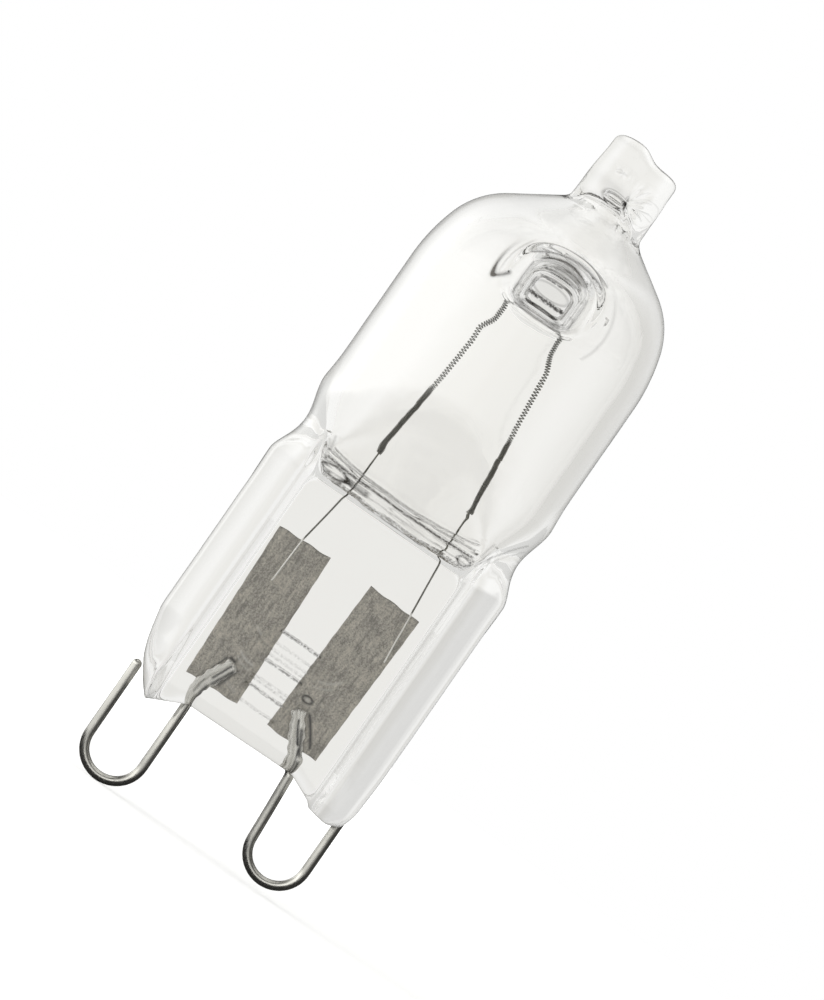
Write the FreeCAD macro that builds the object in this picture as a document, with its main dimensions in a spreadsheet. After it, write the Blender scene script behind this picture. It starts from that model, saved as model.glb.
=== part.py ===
import FreeCAD, Part
import math
import os

import Sketcher

# Halogen capsule bulb with looped wire pins: a clear quartz envelope with a flat
# pressed pinch, two foils sealed in the pinch, a coiled filament hung over a glass
# post, two thin leads and two looped pins. Millimetres, +Z along the lamp's axis
# towards the tip, +X across the pinch, origin on the axis at the feet of the rails.

SIZES = (
    # Bulb
    ("bulb_radius", 6.34),
    ("neck_radius", 5.88),
    ("neck_height", 15.05),
    ("flare_height", 17.3),
    ("dome_start", 24.07),
    ("dome_shoulder_radius", 9.5),
    ("dome_shoulder_angle", 17.0),
    ("dome_crown_radius", 4.05),
    ("crown_slope", 33.0),
    ("glass_wall", 1.0),
    # Cheeks pressed flat between the bulb and the pinch
    ("cheek_foot", 13.2),
    ("cheek_angle", 46.4),
    ("cheek_wall", 1.0),
    ("cavity_floor", 14.3),
    ("cavity_floor_half", 4.3),
    # Glass post that carries the filament, and the two dimples that form it
    ("post_x", 0.1),
    ("post_height", 26.3),
    ("post_half_width", 1.5),
    ("post_half_height", 1.25),
    ("post_flare", 1.0),
    ("post_waist_depth", 2.9),
    ("post_waist_flare", 0.15),
    ("dimple_half_width", 0.9),
    ("dimple_half_height", 0.4),
    ("dimple_flare", 2.0),
    ("dimple_throat_depth", 4.1),
    ("dimple_throat_flare", 0.45),
    ("dimple_web", 0.7),
    # Sealed exhaust tip
    ("tip_x", 0.1),
    ("tip_base_width", 4.0),
    ("tip_base_depth", 3.2),
    ("tip_top_width", 3.65),
    ("tip_top_depth", 1.6),
    ("tip_height", 34.25),
    ("tip_slant", 10.0),
    ("tip_edge_round", 0.4),
    ("exhaust_radius", 0.45),
    ("exhaust_end", 31.6),
    # Pinch: a thin web between two thick rails
    ("pinch_half_width", 6.58),
    ("rail_thickness", 4.4),
    ("rail_crest_width", 1.63),
    ("rail_foot_width", 2.23),
    ("rail_round", 1.1),
    ("web_thickness", 2.4),
    ("shoulder_height", 12.9),
    ("neck_inset", 0.06),
    ("crease_outer_height", 16.2),
    ("crease_inner_height", 14.2),
    ("crease_inset", 2.18),
    ("web_lift", 0.95),
    ("web_foot_x", 2.9),
    ("foot_left_inset", 1.83),
    ("foot_right_inset", 1.28),
    ("corner_round", 0.9),
    ("cut_corner_top", 3.9),
    ("cut_corner_inset", 0.58),
    ("cut_corner_bottom", 1.3),
    # Pins
    ("pin_radius", 0.23),
    ("contact_spacing", 9.0),
    ("leg_inset", 0.565),
    ("loop_bend", 1.35),
    ("loop_drop_left", 4.22),
    ("loop_drop_right", 3.9),
    ("pin_end_left", 1.3),
    ("pin_end_right", 0.45),
    ("tail_bend", 1.5),
    ("tail_start_left", 2.0),
    ("tail_start_right", 1.2),
    ("tail_inset_left", 0.4),
    ("tail_inset_right", 0.735),
    ("tail_height", 3.65),
    # Foils
    ("foil_width", 2.82),
    ("foil_length", 8.1),
    ("foil_thickness", 0.05),
    ("foil_feather", 0.3),
    ("foil_left_x", 2.6),
    ("foil_right_x", 2.22),
    ("foil_height", 6.22),
    ("foil_splay", 2.0),
    ("pin_weld", 0.03),
    # Leads
    ("lead_radius", 0.06),
    ("lead_weld", 0.01),
    ("lead_foot", 7.85),
    ("lead_lower_bend", 10.1),
    ("lead_upper_bend", 14.3),
    ("lead_bend", 1.0),
    ("lead_left_foot_x", 2.95),
    ("lead_left_top_x", 2.31),
    ("lead_right_foot_x", 3.3),
    ("lead_right_top_x", 2.75),
    # Filament
    ("coil_radius", 0.135),
    ("filament_foot", 15.95),
    ("filament_stub", 0.4),
    ("filament_bend", 0.4),
    ("filament_gap", 0.03),
    ("knee_left_x", 1.72),
    ("knee_left_height", 22.95),
    ("knee_right_x", 2.06),
    ("knee_right_height", 23.1),
    ("waist_left_x", 1.35),
    ("waist_right_x", 1.63),
    ("waist_height", 23.95),
)

doc = FreeCAD.newDocument("halogen_capsule")
dims = doc.addObject("Spreadsheet::Sheet", "dims")
work = doc.addObject("Spreadsheet::Sheet", "work")

for row, (size_name, size_value) in enumerate(SIZES, start=1):
    dims.set(f"A{row}", size_name)
    dims.set(f"B{row}", str(size_value))
    dims.setAlias(f"B{row}", size_name)
doc.recompute()


def number(expression):
    """The plain number that an expression on the sheet works out to."""
    work.set("A1", "=" + expression)
    work.recompute()
    return float(work.get("A1"))


def mirrored(expression):
    """The same length on the other side of the axis."""
    return f"-({expression})"


def new_sketch(body, name, role, offset=None):
    """A sketch on one of the body's own origin planes, moved along its normal by offset."""
    plane = next(item for item in body.Origin.OriginFeatures if item.Role == role)
    sketch = body.newObject("Sketcher::SketchObject", name)
    sketch.AttachmentSupport = (plane, [""])
    sketch.MapMode = "FlatFace"
    if offset is not None:
        sketch.setExpression("AttachmentOffset.Base.z", offset)
    return sketch


def bind(sketch, constraint, expression):
    """Add a size to a sketch and bind it to an expression on the sheet."""
    index = sketch.addConstraint(constraint)
    sketch.setExpression(f"Constraints[{index}]", expression)


def pin_point(sketch, edge, end, place):
    """Hold one end of an edge at a place given as two expressions."""
    for kind, expression in zip(("DistanceX", "DistanceY"), place):
        bind(sketch, Sketcher.Constraint(kind, -1, 1, edge, end, number(expression)), expression)


def arc_between(start, end, radius, turn):
    """The shorter arc from start to end, turning left (+1) or right (-1)."""
    chord = end.sub(start)
    rise = math.sqrt(max(radius**2 - (chord.Length / 2) ** 2, 0.0))
    side = FreeCAD.Vector(-chord.y, chord.x, 0).normalize().multiply(turn * rise)
    centre = start.add(end).multiply(0.5).add(side)
    first, last = (start, end) if turn > 0 else (end, start)
    angles = [math.atan2(point.y - centre.y, point.x - centre.x) for point in (first, last)]
    circle = Part.Circle(centre, FreeCAD.Vector(0, 0, 1), radius)
    return Part.ArcOfCircle(circle, angles[0], angles[1])


def draw_outline(sketch, corners):
    """A closed outline through corners, each (across, up) or, where an arc leads on to
    the next corner, (across, up, radius, turn)."""
    points = [FreeCAD.Vector(number(corner[0]), number(corner[1]), 0) for corner in corners]
    edges = []
    for index, corner in enumerate(corners):
        start = points[index]
        end = points[(index + 1) % len(points)]
        if len(corner) == 2:
            edges.append((sketch.addGeometry(Part.LineSegment(start, end)), 1, 2))
        else:
            arc = arc_between(start, end, number(corner[2]), corner[3])
            ends = (1, 2) if corner[3] > 0 else (2, 1)
            edges.append((sketch.addGeometry(arc), *ends))
    for index, (edge, _, last) in enumerate(edges):
        follower, follower_first, _ = edges[(index + 1) % len(edges)]
        sketch.addConstraint(Sketcher.Constraint("Coincident", edge, last, follower, follower_first))
    for (edge, first, _), corner in zip(edges, corners):
        pin_point(sketch, edge, first, corner)
        if len(corner) == 4:
            bind(sketch, Sketcher.Constraint("Radius", edge, number(corner[2])), corner[2])


def draw_circle(sketch, across, up, radius):
    """A circle of the given centre and radius."""
    centre = FreeCAD.Vector(number(across), number(up), 0)
    circle = Part.Circle(centre, FreeCAD.Vector(0, 0, 1), number(radius))
    edge = sketch.addGeometry(circle)
    pin_point(sketch, edge, 3, (across, up))
    bind(sketch, Sketcher.Constraint("Radius", edge, number(radius)), radius)


def draw_slot(sketch, across, up, half_width, half_height):
    """A slot with round ends, longer across than up."""
    left = f"{across} - ({half_width}) + ({half_height})"
    right = f"{across} + ({half_width}) - ({half_height})"
    low = f"{up} - ({half_height})"
    high = f"{up} + ({half_height})"
    middle_left = (f"{across} - ({half_width})", up)
    middle_right = (f"{across} + ({half_width})", up)
    corners = [
        (left, low),
        (right, low, half_height, 1),
        (*middle_right, half_height, 1),
        (right, high),
        (left, high, half_height, 1),
        (*middle_left, half_height, 1),
    ]
    draw_outline(sketch, corners)


def draw_path(sketch, corners):
    """An open path of straight runs, each inner corner rounded by a tangent arc. A corner
    is (across, up), with the radius as a third expression on the inner ones."""
    points = [FreeCAD.Vector(number(corner[0]), number(corner[1]), 0) for corner in corners]
    starts = [points[0]]
    ends = []
    arcs = []
    for before, corner, after, spec in zip(points, points[1:], points[2:], corners[1:]):
        come = corner.sub(before).normalize()
        leave = after.sub(corner).normalize()
        radius = number(spec[2])
        reach = radius * math.tan(come.getAngle(leave) / 2)
        turn = 1 if come.cross(leave).z > 0 else -1
        ends.append(corner.sub(FreeCAD.Vector(come).multiply(reach)))
        starts.append(corner.add(FreeCAD.Vector(leave).multiply(reach)))
        arcs.append((arc_between(ends[-1], starts[-1], radius, turn), turn))
    ends.append(points[-1])
    runs = [sketch.addGeometry(Part.LineSegment(*pair)) for pair in zip(starts, ends)]
    pin_point(sketch, runs[0], 1, corners[0])
    pin_point(sketch, runs[-1], 2, corners[-1])
    for index, (arc, turn) in enumerate(arcs):
        spec = corners[index + 1]
        mark = sketch.addGeometry(Part.Point(points[index + 1]), True)
        pin_point(sketch, mark, 1, spec)
        bend = sketch.addGeometry(arc)
        first, last = (1, 2) if turn > 0 else (2, 1)
        for run in (runs[index], runs[index + 1]):
            sketch.addConstraint(Sketcher.Constraint("PointOnObject", mark, 1, run))
        sketch.addConstraint(Sketcher.Constraint("Tangent", runs[index], 2, bend, first))
        sketch.addConstraint(Sketcher.Constraint("Tangent", bend, last, runs[index + 1], 1))
        bind(sketch, Sketcher.Constraint("Radius", bend, number(spec[2])), spec[2])


def new_body(name):
    """A body whose label is the name of its piece."""
    body = doc.addObject("PartDesign::Body", name)
    body.Label = name
    return body


def add_feature(body, kind, name, profile, **settings):
    """A feature of a body on a profile, with lengths and angles bound to expressions."""
    feature = body.newObject(f"PartDesign::{kind}", name)
    feature.Profile = profile
    for setting, value in settings.items():
        if setting in ("Length", "Radius"):
            feature.setExpression(setting, value)
        else:
            setattr(feature, setting, value)
    doc.recompute()
    return feature


def bent_wire(name, radius, depth, corners):
    """A round wire along a path in a plane across the lamp, at a depth behind the axis.
    Its first run is upright, so its section lies level."""
    body = new_body(name)
    path = new_sketch(body, f"{name}_path", "XZ_Plane", mirrored(depth))
    draw_path(path, corners)
    section = new_sketch(body, f"{name}_section", "XY_Plane", corners[0][1])
    draw_circle(section, corners[0][0], depth, radius)
    doc.recompute()
    add_feature(body, "AdditivePipe", f"{name}_wire", section, Spine=path)
    return body


# Places that several pieces share
WEB_HALF = "dims.web_thickness / 2"
RAIL_HALF = "dims.rail_thickness / 2"
WELD_PLANE = "(dims.pin_radius - dims.pin_weld)"
LEAD_DEPTH = f"({WELD_PLANE} - dims.lead_radius + dims.lead_weld)"
LIMIT = "2 * dims.bulb_radius"


def dome_corners(wall):
    """The dome's half section from the cylinder to the crown's cone, inside the outer
    skin by wall: a shoulder arc, then a tighter crown arc, both tangent."""
    shoulder = f"(dims.dome_shoulder_radius - {wall})"
    crown = f"(dims.dome_crown_radius - {wall})"
    angle = "dims.dome_shoulder_angle"
    steep = "(90 - dims.crown_slope)"
    centre = "(dims.bulb_radius - dims.dome_shoulder_radius)"
    swing = "(dims.dome_shoulder_radius - dims.dome_crown_radius)"
    crown_across = f"{centre} + {swing} * cos({angle})"
    crown_up = f"dims.dome_start + {swing} * sin({angle})"
    return [
        (f"dims.bulb_radius - {wall}", "dims.dome_start", shoulder, 1),
        (f"{centre} + {shoulder} * cos({angle})", f"dims.dome_start + {shoulder} * sin({angle})", crown, 1),
        (f"{crown_across} + {crown} * cos({steep})", f"{crown_up} + {crown} * sin({steep})"),
    ]


def cone_height(wall, across):
    """The height of the crown's cone at a distance from the axis."""
    end_across, end_up = dome_corners(wall)[-1]
    return f"{end_up} + ({end_across} - ({across})) * tan(dims.crown_slope)"


def cheek_height(wall, depth):
    """The height of the cheek plane, inside its outer face by wall, at a depth."""
    reach = f"({depth} - {WEB_HALF} + {wall} / cos(dims.cheek_angle))"
    return f"dims.cheek_foot + {reach} / tan(dims.cheek_angle)"


def cut_cheeks(body, name, wall, start_depth):
    """Take off what lies outside the two slanted cheeks, inside their outer faces by wall."""
    for side, sign in (("front", "-"), ("back", "")):
        sketch = new_sketch(body, f"{name}_{side}", "YZ_Plane")
        corners = [
            (f"{sign}({start_depth})", cheek_height(wall, start_depth)),
            (f"{sign}({LIMIT})", cheek_height(wall, start_depth)),
            (f"{sign}({LIMIT})", cheek_height(wall, LIMIT)),
        ]
        draw_outline(sketch, corners)
        add_feature(body, "Pocket", f"{name}_{side}_cut", sketch, Type="ThroughAll", SideType="Symmetric")


def make_bulb():
    """The bulb's outer form: a turned body, its cheeks, the sealed tip and the dimples."""
    body = new_body("bulb_blank")
    buried = f"({WEB_HALF} / 2)"
    profile = new_sketch(body, "bulb_profile", "XZ_Plane")
    corners = [
        ("0", cheek_height("0", buried)),
        ("dims.neck_radius", cheek_height("0", buried)),
        ("dims.neck_radius", "dims.neck_height"),
        ("dims.bulb_radius", "dims.flare_height"),
        *dome_corners("0"),
        ("0", cone_height("0", "0")),
    ]
    draw_outline(profile, corners)
    add_feature(body, "Revolution", "bulb_turned", profile, ReferenceAxis=(profile, ["V_Axis"]))
    cut_cheeks(body, "cheek", "0", buried)

    base_height = cone_height("dims.glass_wall / 2", "dims.tip_base_width / 2")
    base = new_sketch(body, "tip_base", "XY_Plane", base_height)
    draw_slot(base, "dims.tip_x", "0", "dims.tip_base_width / 2", "dims.tip_base_depth / 2")
    fall = "dims.tip_base_width * tan(dims.tip_slant)"
    top = new_sketch(body, "tip_top", "XY_Plane", f"dims.tip_height + {fall}")
    draw_slot(top, "dims.tip_x", "0", "dims.tip_top_width / 2", "dims.tip_top_depth / 2")
    doc.recompute()
    add_feature(body, "AdditiveLoft", "tip", base, Sections=[top], Ruled=True)
    trim = new_sketch(body, "tip_trim", "XZ_Plane")
    above = "dims.tip_height + 2 * dims.tip_base_width"
    trim_corners = [
        ("dims.tip_x - dims.tip_base_width", f"dims.tip_height + {fall}"),
        ("dims.tip_x + dims.tip_base_width", f"dims.tip_height - {fall}"),
        ("dims.tip_x + dims.tip_base_width", above),
        ("dims.tip_x - dims.tip_base_width", above),
    ]
    draw_outline(trim, trim_corners)
    cut = add_feature(body, "Pocket", "tip_cut", trim, Type="ThroughAll", SideType="Symmetric")
    round_tip(body, cut)
    press_dimples(body)
    return body


def round_tip(body, cut):
    """Melt the edge of the tip's slanted end round."""
    tilt = math.radians(number("dims.tip_slant"))
    slant = FreeCAD.Vector(math.sin(tilt), 0, math.cos(tilt))
    faces = cut.Shape.Faces
    end_face = max(faces, key=lambda face: face.CenterOfMass.z * (face.normalAt(0, 0).dot(slant) > 0.999))
    names = []
    for index, edge in enumerate(cut.Shape.Edges, start=1):
        if any(edge.isSame(other) for other in end_face.Edges):
            names.append(f"Edge{index}")
    fillet = body.newObject("PartDesign::Fillet", "tip_round")
    fillet.Base = (cut, names)
    fillet.setExpression("Radius", "dims.tip_edge_round")
    doc.recompute()


def press_dimples(body):
    """A funnel pressed in from the front and the back, down to a thin web between them."""
    skin = "dims.bulb_radius + dims.glass_wall / 2"
    for side, sign in (("front", ""), ("back", "-")):
        steps = (
            ("mouth", skin, "dims.dimple_flare"),
            ("throat", "dims.dimple_throat_depth", "dims.dimple_throat_flare"),
            ("floor", "dims.dimple_web / 2", "0"),
        )
        sections = []
        for step, depth, growth in steps:
            sketch = new_sketch(body, f"dimple_{side}_{step}", "XZ_Plane", f"{sign}({depth})")
            width = f"dims.dimple_half_width + {growth}"
            height = f"dims.dimple_half_height + {growth}"
            draw_slot(sketch, "dims.post_x", "dims.post_height", width, height)
            sections.append(sketch)
        doc.recompute()
        add_feature(body, "SubtractiveLoft", f"dimple_{side}", sections[0], Sections=sections[1:])


def make_cavity():
    """The hollow of the bulb, with the exhaust channel, the cheeks and the post left standing."""
    body = new_body("bulb_hollow")
    profile = new_sketch(body, "hollow_profile", "XZ_Plane")
    corners = [
        ("0", "dims.cavity_floor"),
        ("dims.cavity_floor_half", "dims.cavity_floor"),
        ("dims.neck_radius - dims.glass_wall", "dims.neck_height"),
        ("dims.bulb_radius - dims.glass_wall", "dims.flare_height"),
        *dome_corners("dims.glass_wall"),
        ("dims.exhaust_radius", cone_height("dims.glass_wall", "dims.exhaust_radius")),
        ("dims.exhaust_radius", "dims.exhaust_end"),
        ("0", "dims.exhaust_end + dims.exhaust_radius / 2"),
    ]
    draw_outline(profile, corners)
    add_feature(body, "Revolution", "hollow_turned", profile, ReferenceAxis=(profile, ["V_Axis"]))
    cut_cheeks(body, "inner_cheek", "dims.cheek_wall", "0")

    wall_depth = "dims.bulb_radius - dims.glass_wall / 2"
    steps = (
        ("front", wall_depth, "dims.post_flare"),
        ("front_waist", "dims.post_waist_depth", "dims.post_waist_flare"),
        ("middle", "0", "0"),
        ("back_waist", "-dims.post_waist_depth", "dims.post_waist_flare"),
        ("back", f"-({wall_depth})", "dims.post_flare"),
    )
    sections = []
    for step, depth, growth in steps:
        sketch = new_sketch(body, f"post_{step}", "XZ_Plane", depth)
        width = f"dims.post_half_width + {growth}"
        height = f"dims.post_half_height + {growth}"
        draw_slot(sketch, "dims.post_x", "dims.post_height", width, height)
        sections.append(sketch)
    doc.recompute()
    add_feature(body, "SubtractiveLoft", "post", sections[0], Sections=sections[1:])
    return body


def make_pinch_section():
    """The pinch's cross section carried up the lamp: a thin web between two round rails."""
    body = new_body("pinch_section")
    sketch = new_sketch(body, "pinch_section_profile", "XY_Plane", mirrored("dims.corner_round"))
    quarter = [
        ("dims.pinch_half_width - dims.rail_foot_width", WEB_HALF),
        ("dims.pinch_half_width - dims.rail_crest_width", RAIL_HALF),
        ("dims.pinch_half_width - dims.rail_round", RAIL_HALF),
        ("dims.pinch_half_width", f"{RAIL_HALF} - dims.rail_round"),
    ]
    lower_right = [(across, mirrored(depth)) for across, depth in quarter]
    upper_right = quarter[::-1]
    upper_left = [(mirrored(across), depth) for across, depth in quarter]
    lower_left = [(mirrored(across), mirrored(depth)) for across, depth in quarter[::-1]]
    corners = lower_right + upper_right + upper_left + lower_left
    for start in (2, 4, 10, 12):
        corners[start] = (*corners[start], "dims.rail_round", 1)
    draw_outline(sketch, corners)
    height = "dims.crease_outer_height + 2 * dims.corner_round"
    add_feature(body, "Pad", "pinch_section_pad", sketch, Length=height)
    return body


def make_pinch_outline():
    """The pinch's front outline: feet, a cut corner on the left and a round one on the
    right, straight sides, and shoulders that draw in to the neck."""
    body = new_body("pinch_outline")
    sketch = new_sketch(body, "pinch_outline_profile", "XZ_Plane")
    neck = "(dims.neck_radius - dims.neck_inset)"
    draw_in = f"(dims.pinch_half_width - {neck})"
    climb = "(dims.neck_height - dims.shoulder_height)"
    bend = f"({draw_in} ^ 2 + {climb} ^ 2) / (4 * {draw_in})"
    half_across = f"(dims.pinch_half_width + {neck}) / 2"
    half_up = "(dims.shoulder_height + dims.neck_height) / 2"
    flare_slope = "(dims.bulb_radius - dims.neck_radius) / (dims.flare_height - dims.neck_height)"
    crease = f"{neck} + (dims.crease_outer_height - dims.neck_height) * {flare_slope}"
    crease_inner = "(dims.pinch_half_width - dims.crease_inset)"
    corners = [
        (mirrored("dims.pinch_half_width - dims.foot_left_inset"), "0"),
        (mirrored("dims.web_foot_x"), "dims.web_lift"),
        ("dims.web_foot_x", "dims.web_lift"),
        ("dims.pinch_half_width - dims.foot_right_inset", "0"),
        ("dims.pinch_half_width - dims.corner_round", "0", "dims.corner_round", 1),
        ("dims.pinch_half_width", "dims.corner_round"),
        ("dims.pinch_half_width", "dims.shoulder_height", bend, 1),
        (half_across, half_up, bend, -1),
        (neck, "dims.neck_height"),
        (crease, "dims.crease_outer_height"),
        (crease_inner, "dims.crease_inner_height"),
        (mirrored(crease_inner), "dims.crease_inner_height"),
        (mirrored(crease), "dims.crease_outer_height"),
        (mirrored(neck), "dims.neck_height", bend, -1),
        (mirrored(half_across), half_up, bend, 1),
        (mirrored("dims.pinch_half_width"), "dims.shoulder_height"),
        (mirrored("dims.pinch_half_width"), "dims.cut_corner_top"),
        (mirrored("dims.pinch_half_width - dims.cut_corner_inset"), "dims.cut_corner_bottom"),
    ]
    draw_outline(sketch, corners)
    add_feature(body, "Pad", "pinch_outline_pad", sketch, Length="2 * dims.rail_thickness", SideType="Symmetric")
    return body


def make_foil(name, side, centre):
    """A thin sealing foil with feathered long edges, splayed outwards at its top."""
    body = new_body(name)
    sketch = new_sketch(body, f"{name}_section", "XY_Plane", "-dims.foil_length / 2")
    half = "dims.foil_width / 2"
    flat = "(dims.foil_width / 2 - dims.foil_feather)"
    thick = "dims.foil_thickness / 2"
    corners = [
        (half, "0"),
        (flat, thick),
        (mirrored(flat), thick),
        (mirrored(half), "0"),
        (mirrored(flat), mirrored(thick)),
        (flat, mirrored(thick)),
    ]
    draw_outline(sketch, corners)
    add_feature(body, "Pad", f"{name}_sheet", sketch, Length="dims.foil_length")
    lean = FreeCAD.Rotation(FreeCAD.Vector(0, side, 0), number("dims.foil_splay"))
    body.Placement = FreeCAD.Placement(FreeCAD.Vector(), lean)
    body.setExpression("Placement.Rotation.Angle", "dims.foil_splay")
    body.setExpression("Placement.Base.x", f"{side} * {centre}")
    body.setExpression("Placement.Base.y", f"{WELD_PLANE} + dims.foil_thickness / 2")
    body.setExpression("Placement.Base.z", "dims.foil_height")
    return body


def weld_flat(body, side, low, high):
    """Press the back of a wire flat where it is welded to the front of its foil."""
    name = body.Label
    sketch = new_sketch(body, f"{name}_weld", "XZ_Plane", mirrored(WELD_PLANE))
    edge = f"{side} * dims.pinch_half_width"
    corners = [("0", low), (edge, low), (edge, high), ("0", high)]
    draw_outline(sketch, corners if side > 0 else corners[::-1])
    add_feature(body, "Pocket", f"{name}_weld_flat", sketch, Length="dims.pin_radius")


def make_pin(name, side, drop, end, tail_start, tail):
    """A looped pin: a free leg under the rail, a round loop about its contact, and a leg
    that runs into the glass and bends across its foil."""
    leg = "(dims.pinch_half_width - dims.leg_inset)"
    outer = f"{side} * {leg}"
    inner = f"{side} * (dims.contact_spacing - {leg})"
    tail = f"{side} * ({tail})"
    loop_bend = f"min(dims.loop_bend; {leg} - (dims.contact_spacing + dims.pin_radius) / 2)"
    corners = [
        (outer, end),
        (outer, mirrored(drop), loop_bend),
        (inner, mirrored(drop), loop_bend),
        (inner, tail_start, "dims.tail_bend"),
        (tail, "dims.tail_height"),
    ]
    body = bent_wire(name, "dims.pin_radius", "0", corners)
    foil_bottom = "dims.foil_height - dims.foil_length / 2"
    weld_flat(body, side, f"{foil_bottom} - dims.pin_radius", "dims.tail_height + dims.foil_width")
    return body


def make_lead(name, side, foot, top):
    """A thin lead from the face of its foil up to the foot of the filament."""
    foot = f"{side} * {foot}"
    top = f"{side} * {top}"
    corners = [
        (foot, "dims.lead_foot"),
        (foot, "dims.lead_lower_bend", "dims.lead_bend"),
        (top, "dims.lead_upper_bend", "dims.lead_bend"),
        (top, "dims.filament_foot"),
    ]
    body = bent_wire(name, "dims.lead_radius", LEAD_DEPTH, corners)
    foil_top = "dims.foil_height + dims.foil_length / 2"
    weld_flat(body, side, "dims.lead_foot - dims.foil_width", foil_top)
    return body


def make_filament():
    """The coiled filament's outer form: up from one lead, over the post and down to the other."""
    clear = "(dims.filament_gap + dims.coil_radius)"
    over = f"dims.post_height + dims.post_half_height + {clear}"
    under = "dims.post_height - dims.post_half_height / 2"
    bend = "dims.filament_bend"
    left = f"dims.post_x - dims.post_half_width - {clear}"
    right = f"dims.post_x + dims.post_half_width + {clear}"
    round_post = f"dims.post_half_height / 2 + {clear}"
    stub = "dims.filament_foot + dims.filament_stub"
    corners = [
        (mirrored("dims.lead_left_top_x"), "dims.filament_foot"),
        (mirrored("dims.lead_left_top_x"), stub, bend),
        (mirrored("dims.knee_left_x"), "dims.knee_left_height", bend),
        (mirrored("dims.waist_left_x"), "dims.waist_height", bend),
        (left, under, bend),
        (left, over, round_post),
        (right, over, round_post),
        (right, under, bend),
        ("dims.waist_right_x", "dims.waist_height", bend),
        ("dims.knee_right_x", "dims.knee_right_height", bend),
        ("dims.lead_right_top_x", stub, bend),
        ("dims.lead_right_top_x", "dims.filament_foot"),
    ]
    return bent_wire("filament", "dims.coil_radius", LEAD_DEPTH, corners)


def boolean(kind, name, **links):
    """A boolean of finished shapes."""
    item = doc.addObject(f"Part::{kind}", name)
    item.Label = name
    for link, value in links.items():
        setattr(item, link, value)
    doc.recompute()
    return item


tail_left = "dims.foil_left_x - dims.tail_inset_left"
tail_right = "dims.foil_right_x - dims.tail_inset_right"
pin_left = make_pin(
    "pin_left", -1, "dims.loop_drop_left", "dims.pin_end_left", "dims.tail_start_left", tail_left
)
pin_right = make_pin(
    "pin_right", 1, "dims.loop_drop_right", "dims.pin_end_right", "dims.tail_start_right", tail_right
)
foil_left = make_foil("foil_left", -1, "dims.foil_left_x")
foil_right = make_foil("foil_right", 1, "dims.foil_right_x")
lead_left = make_lead("lead_left", -1, "dims.lead_left_foot_x", "dims.lead_left_top_x")
lead_right = make_lead("lead_right", 1, "dims.lead_right_foot_x", "dims.lead_right_top_x")
filament = make_filament()

# The envelope is one piece of glass, melted tight round the metal that it seals in
pinch = boolean("Common", "pinch", Base=make_pinch_section(), Tool=make_pinch_outline())
blown = boolean("Cut", "blown_bulb", Base=make_bulb(), Tool=make_cavity())
pressed = boolean("Fuse", "pressed_envelope", Base=blown, Tool=pinch)
sealed_metal = [pin_left, pin_right, foil_left, foil_right, lead_left, lead_right]
seal = boolean("MultiFuse", "sealed_metal", Shapes=sealed_metal)
glass_envelope = boolean("Cut", "glass_envelope", Base=pressed, Tool=seal)

pieces = [glass_envelope, filament, *sealed_metal]
doc.recompute()
for item in doc.Objects:
    if "Invalid" in item.State or "Error" in item.State:
        raise RuntimeError(f"{item.Label} failed to build: {item.State}")
for piece in pieces:
    if piece.Shape.isNull() or not piece.Shape.isValid():
        raise RuntimeError(f"{piece.Label} has no valid shape")

os.makedirs("parts", exist_ok=True)
for piece in pieces:
    piece.Shape.exportStep(f"parts/{piece.Label}.step")
    print(piece.Label, len(piece.Shape.Solids), "solid", round(piece.Shape.Volume, 4), "mm3")
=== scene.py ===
import math

import bmesh
import bpy
import numpy as np
from mathutils import Matrix, Vector


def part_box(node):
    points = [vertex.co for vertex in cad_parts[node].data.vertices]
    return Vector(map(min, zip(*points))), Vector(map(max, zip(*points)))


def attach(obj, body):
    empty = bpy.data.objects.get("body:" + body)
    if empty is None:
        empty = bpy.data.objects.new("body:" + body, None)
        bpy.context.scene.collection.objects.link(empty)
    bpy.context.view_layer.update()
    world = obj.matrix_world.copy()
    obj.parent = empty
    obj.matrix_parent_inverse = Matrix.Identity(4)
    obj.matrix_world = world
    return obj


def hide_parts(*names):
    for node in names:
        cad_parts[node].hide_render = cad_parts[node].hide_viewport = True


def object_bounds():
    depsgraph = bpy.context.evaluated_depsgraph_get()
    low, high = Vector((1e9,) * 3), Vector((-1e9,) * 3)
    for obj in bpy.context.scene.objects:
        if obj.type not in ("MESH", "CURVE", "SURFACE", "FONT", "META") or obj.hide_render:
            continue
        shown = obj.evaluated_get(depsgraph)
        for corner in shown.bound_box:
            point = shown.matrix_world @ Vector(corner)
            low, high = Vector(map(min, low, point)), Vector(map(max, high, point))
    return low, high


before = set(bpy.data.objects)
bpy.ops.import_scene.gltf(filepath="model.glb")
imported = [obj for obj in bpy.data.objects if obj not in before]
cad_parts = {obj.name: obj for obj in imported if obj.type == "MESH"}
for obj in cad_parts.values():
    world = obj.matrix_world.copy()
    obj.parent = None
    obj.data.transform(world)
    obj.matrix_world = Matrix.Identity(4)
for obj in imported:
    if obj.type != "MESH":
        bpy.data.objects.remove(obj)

# Halogen capsule bulb: blown and pressed quartz glass round a coiled filament, two thin
# leads, two sealing foils and two looped pins. Surfaces are worked out in millimetres in
# the frame's own axes (+Z to the tip, +X across the pinch, the front is -Y).

bl_info = {
    "name": "Halogen capsule bulb",
    "version": (1, 0, 0),
    "blender": (4, 5, 0),
    "location": "3D View > Sidebar > Capsule",
    "description": "Builds the looks of a halogen capsule bulb round its CAD frame",
    "category": "Add Mesh",
}

MM = 0.001
CAD_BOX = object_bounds()


def node_box(node):
    """Lowest and highest corner of a CAD node in millimetres."""
    return tuple(np.array(corner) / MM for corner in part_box(node))


def node_middle(node):
    """Middle of a CAD node's box in millimetres."""
    low, high = node_box(node)
    return (low + high) / 2


GLASS_HIGH = node_box("glass_envelope")[1]

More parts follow.
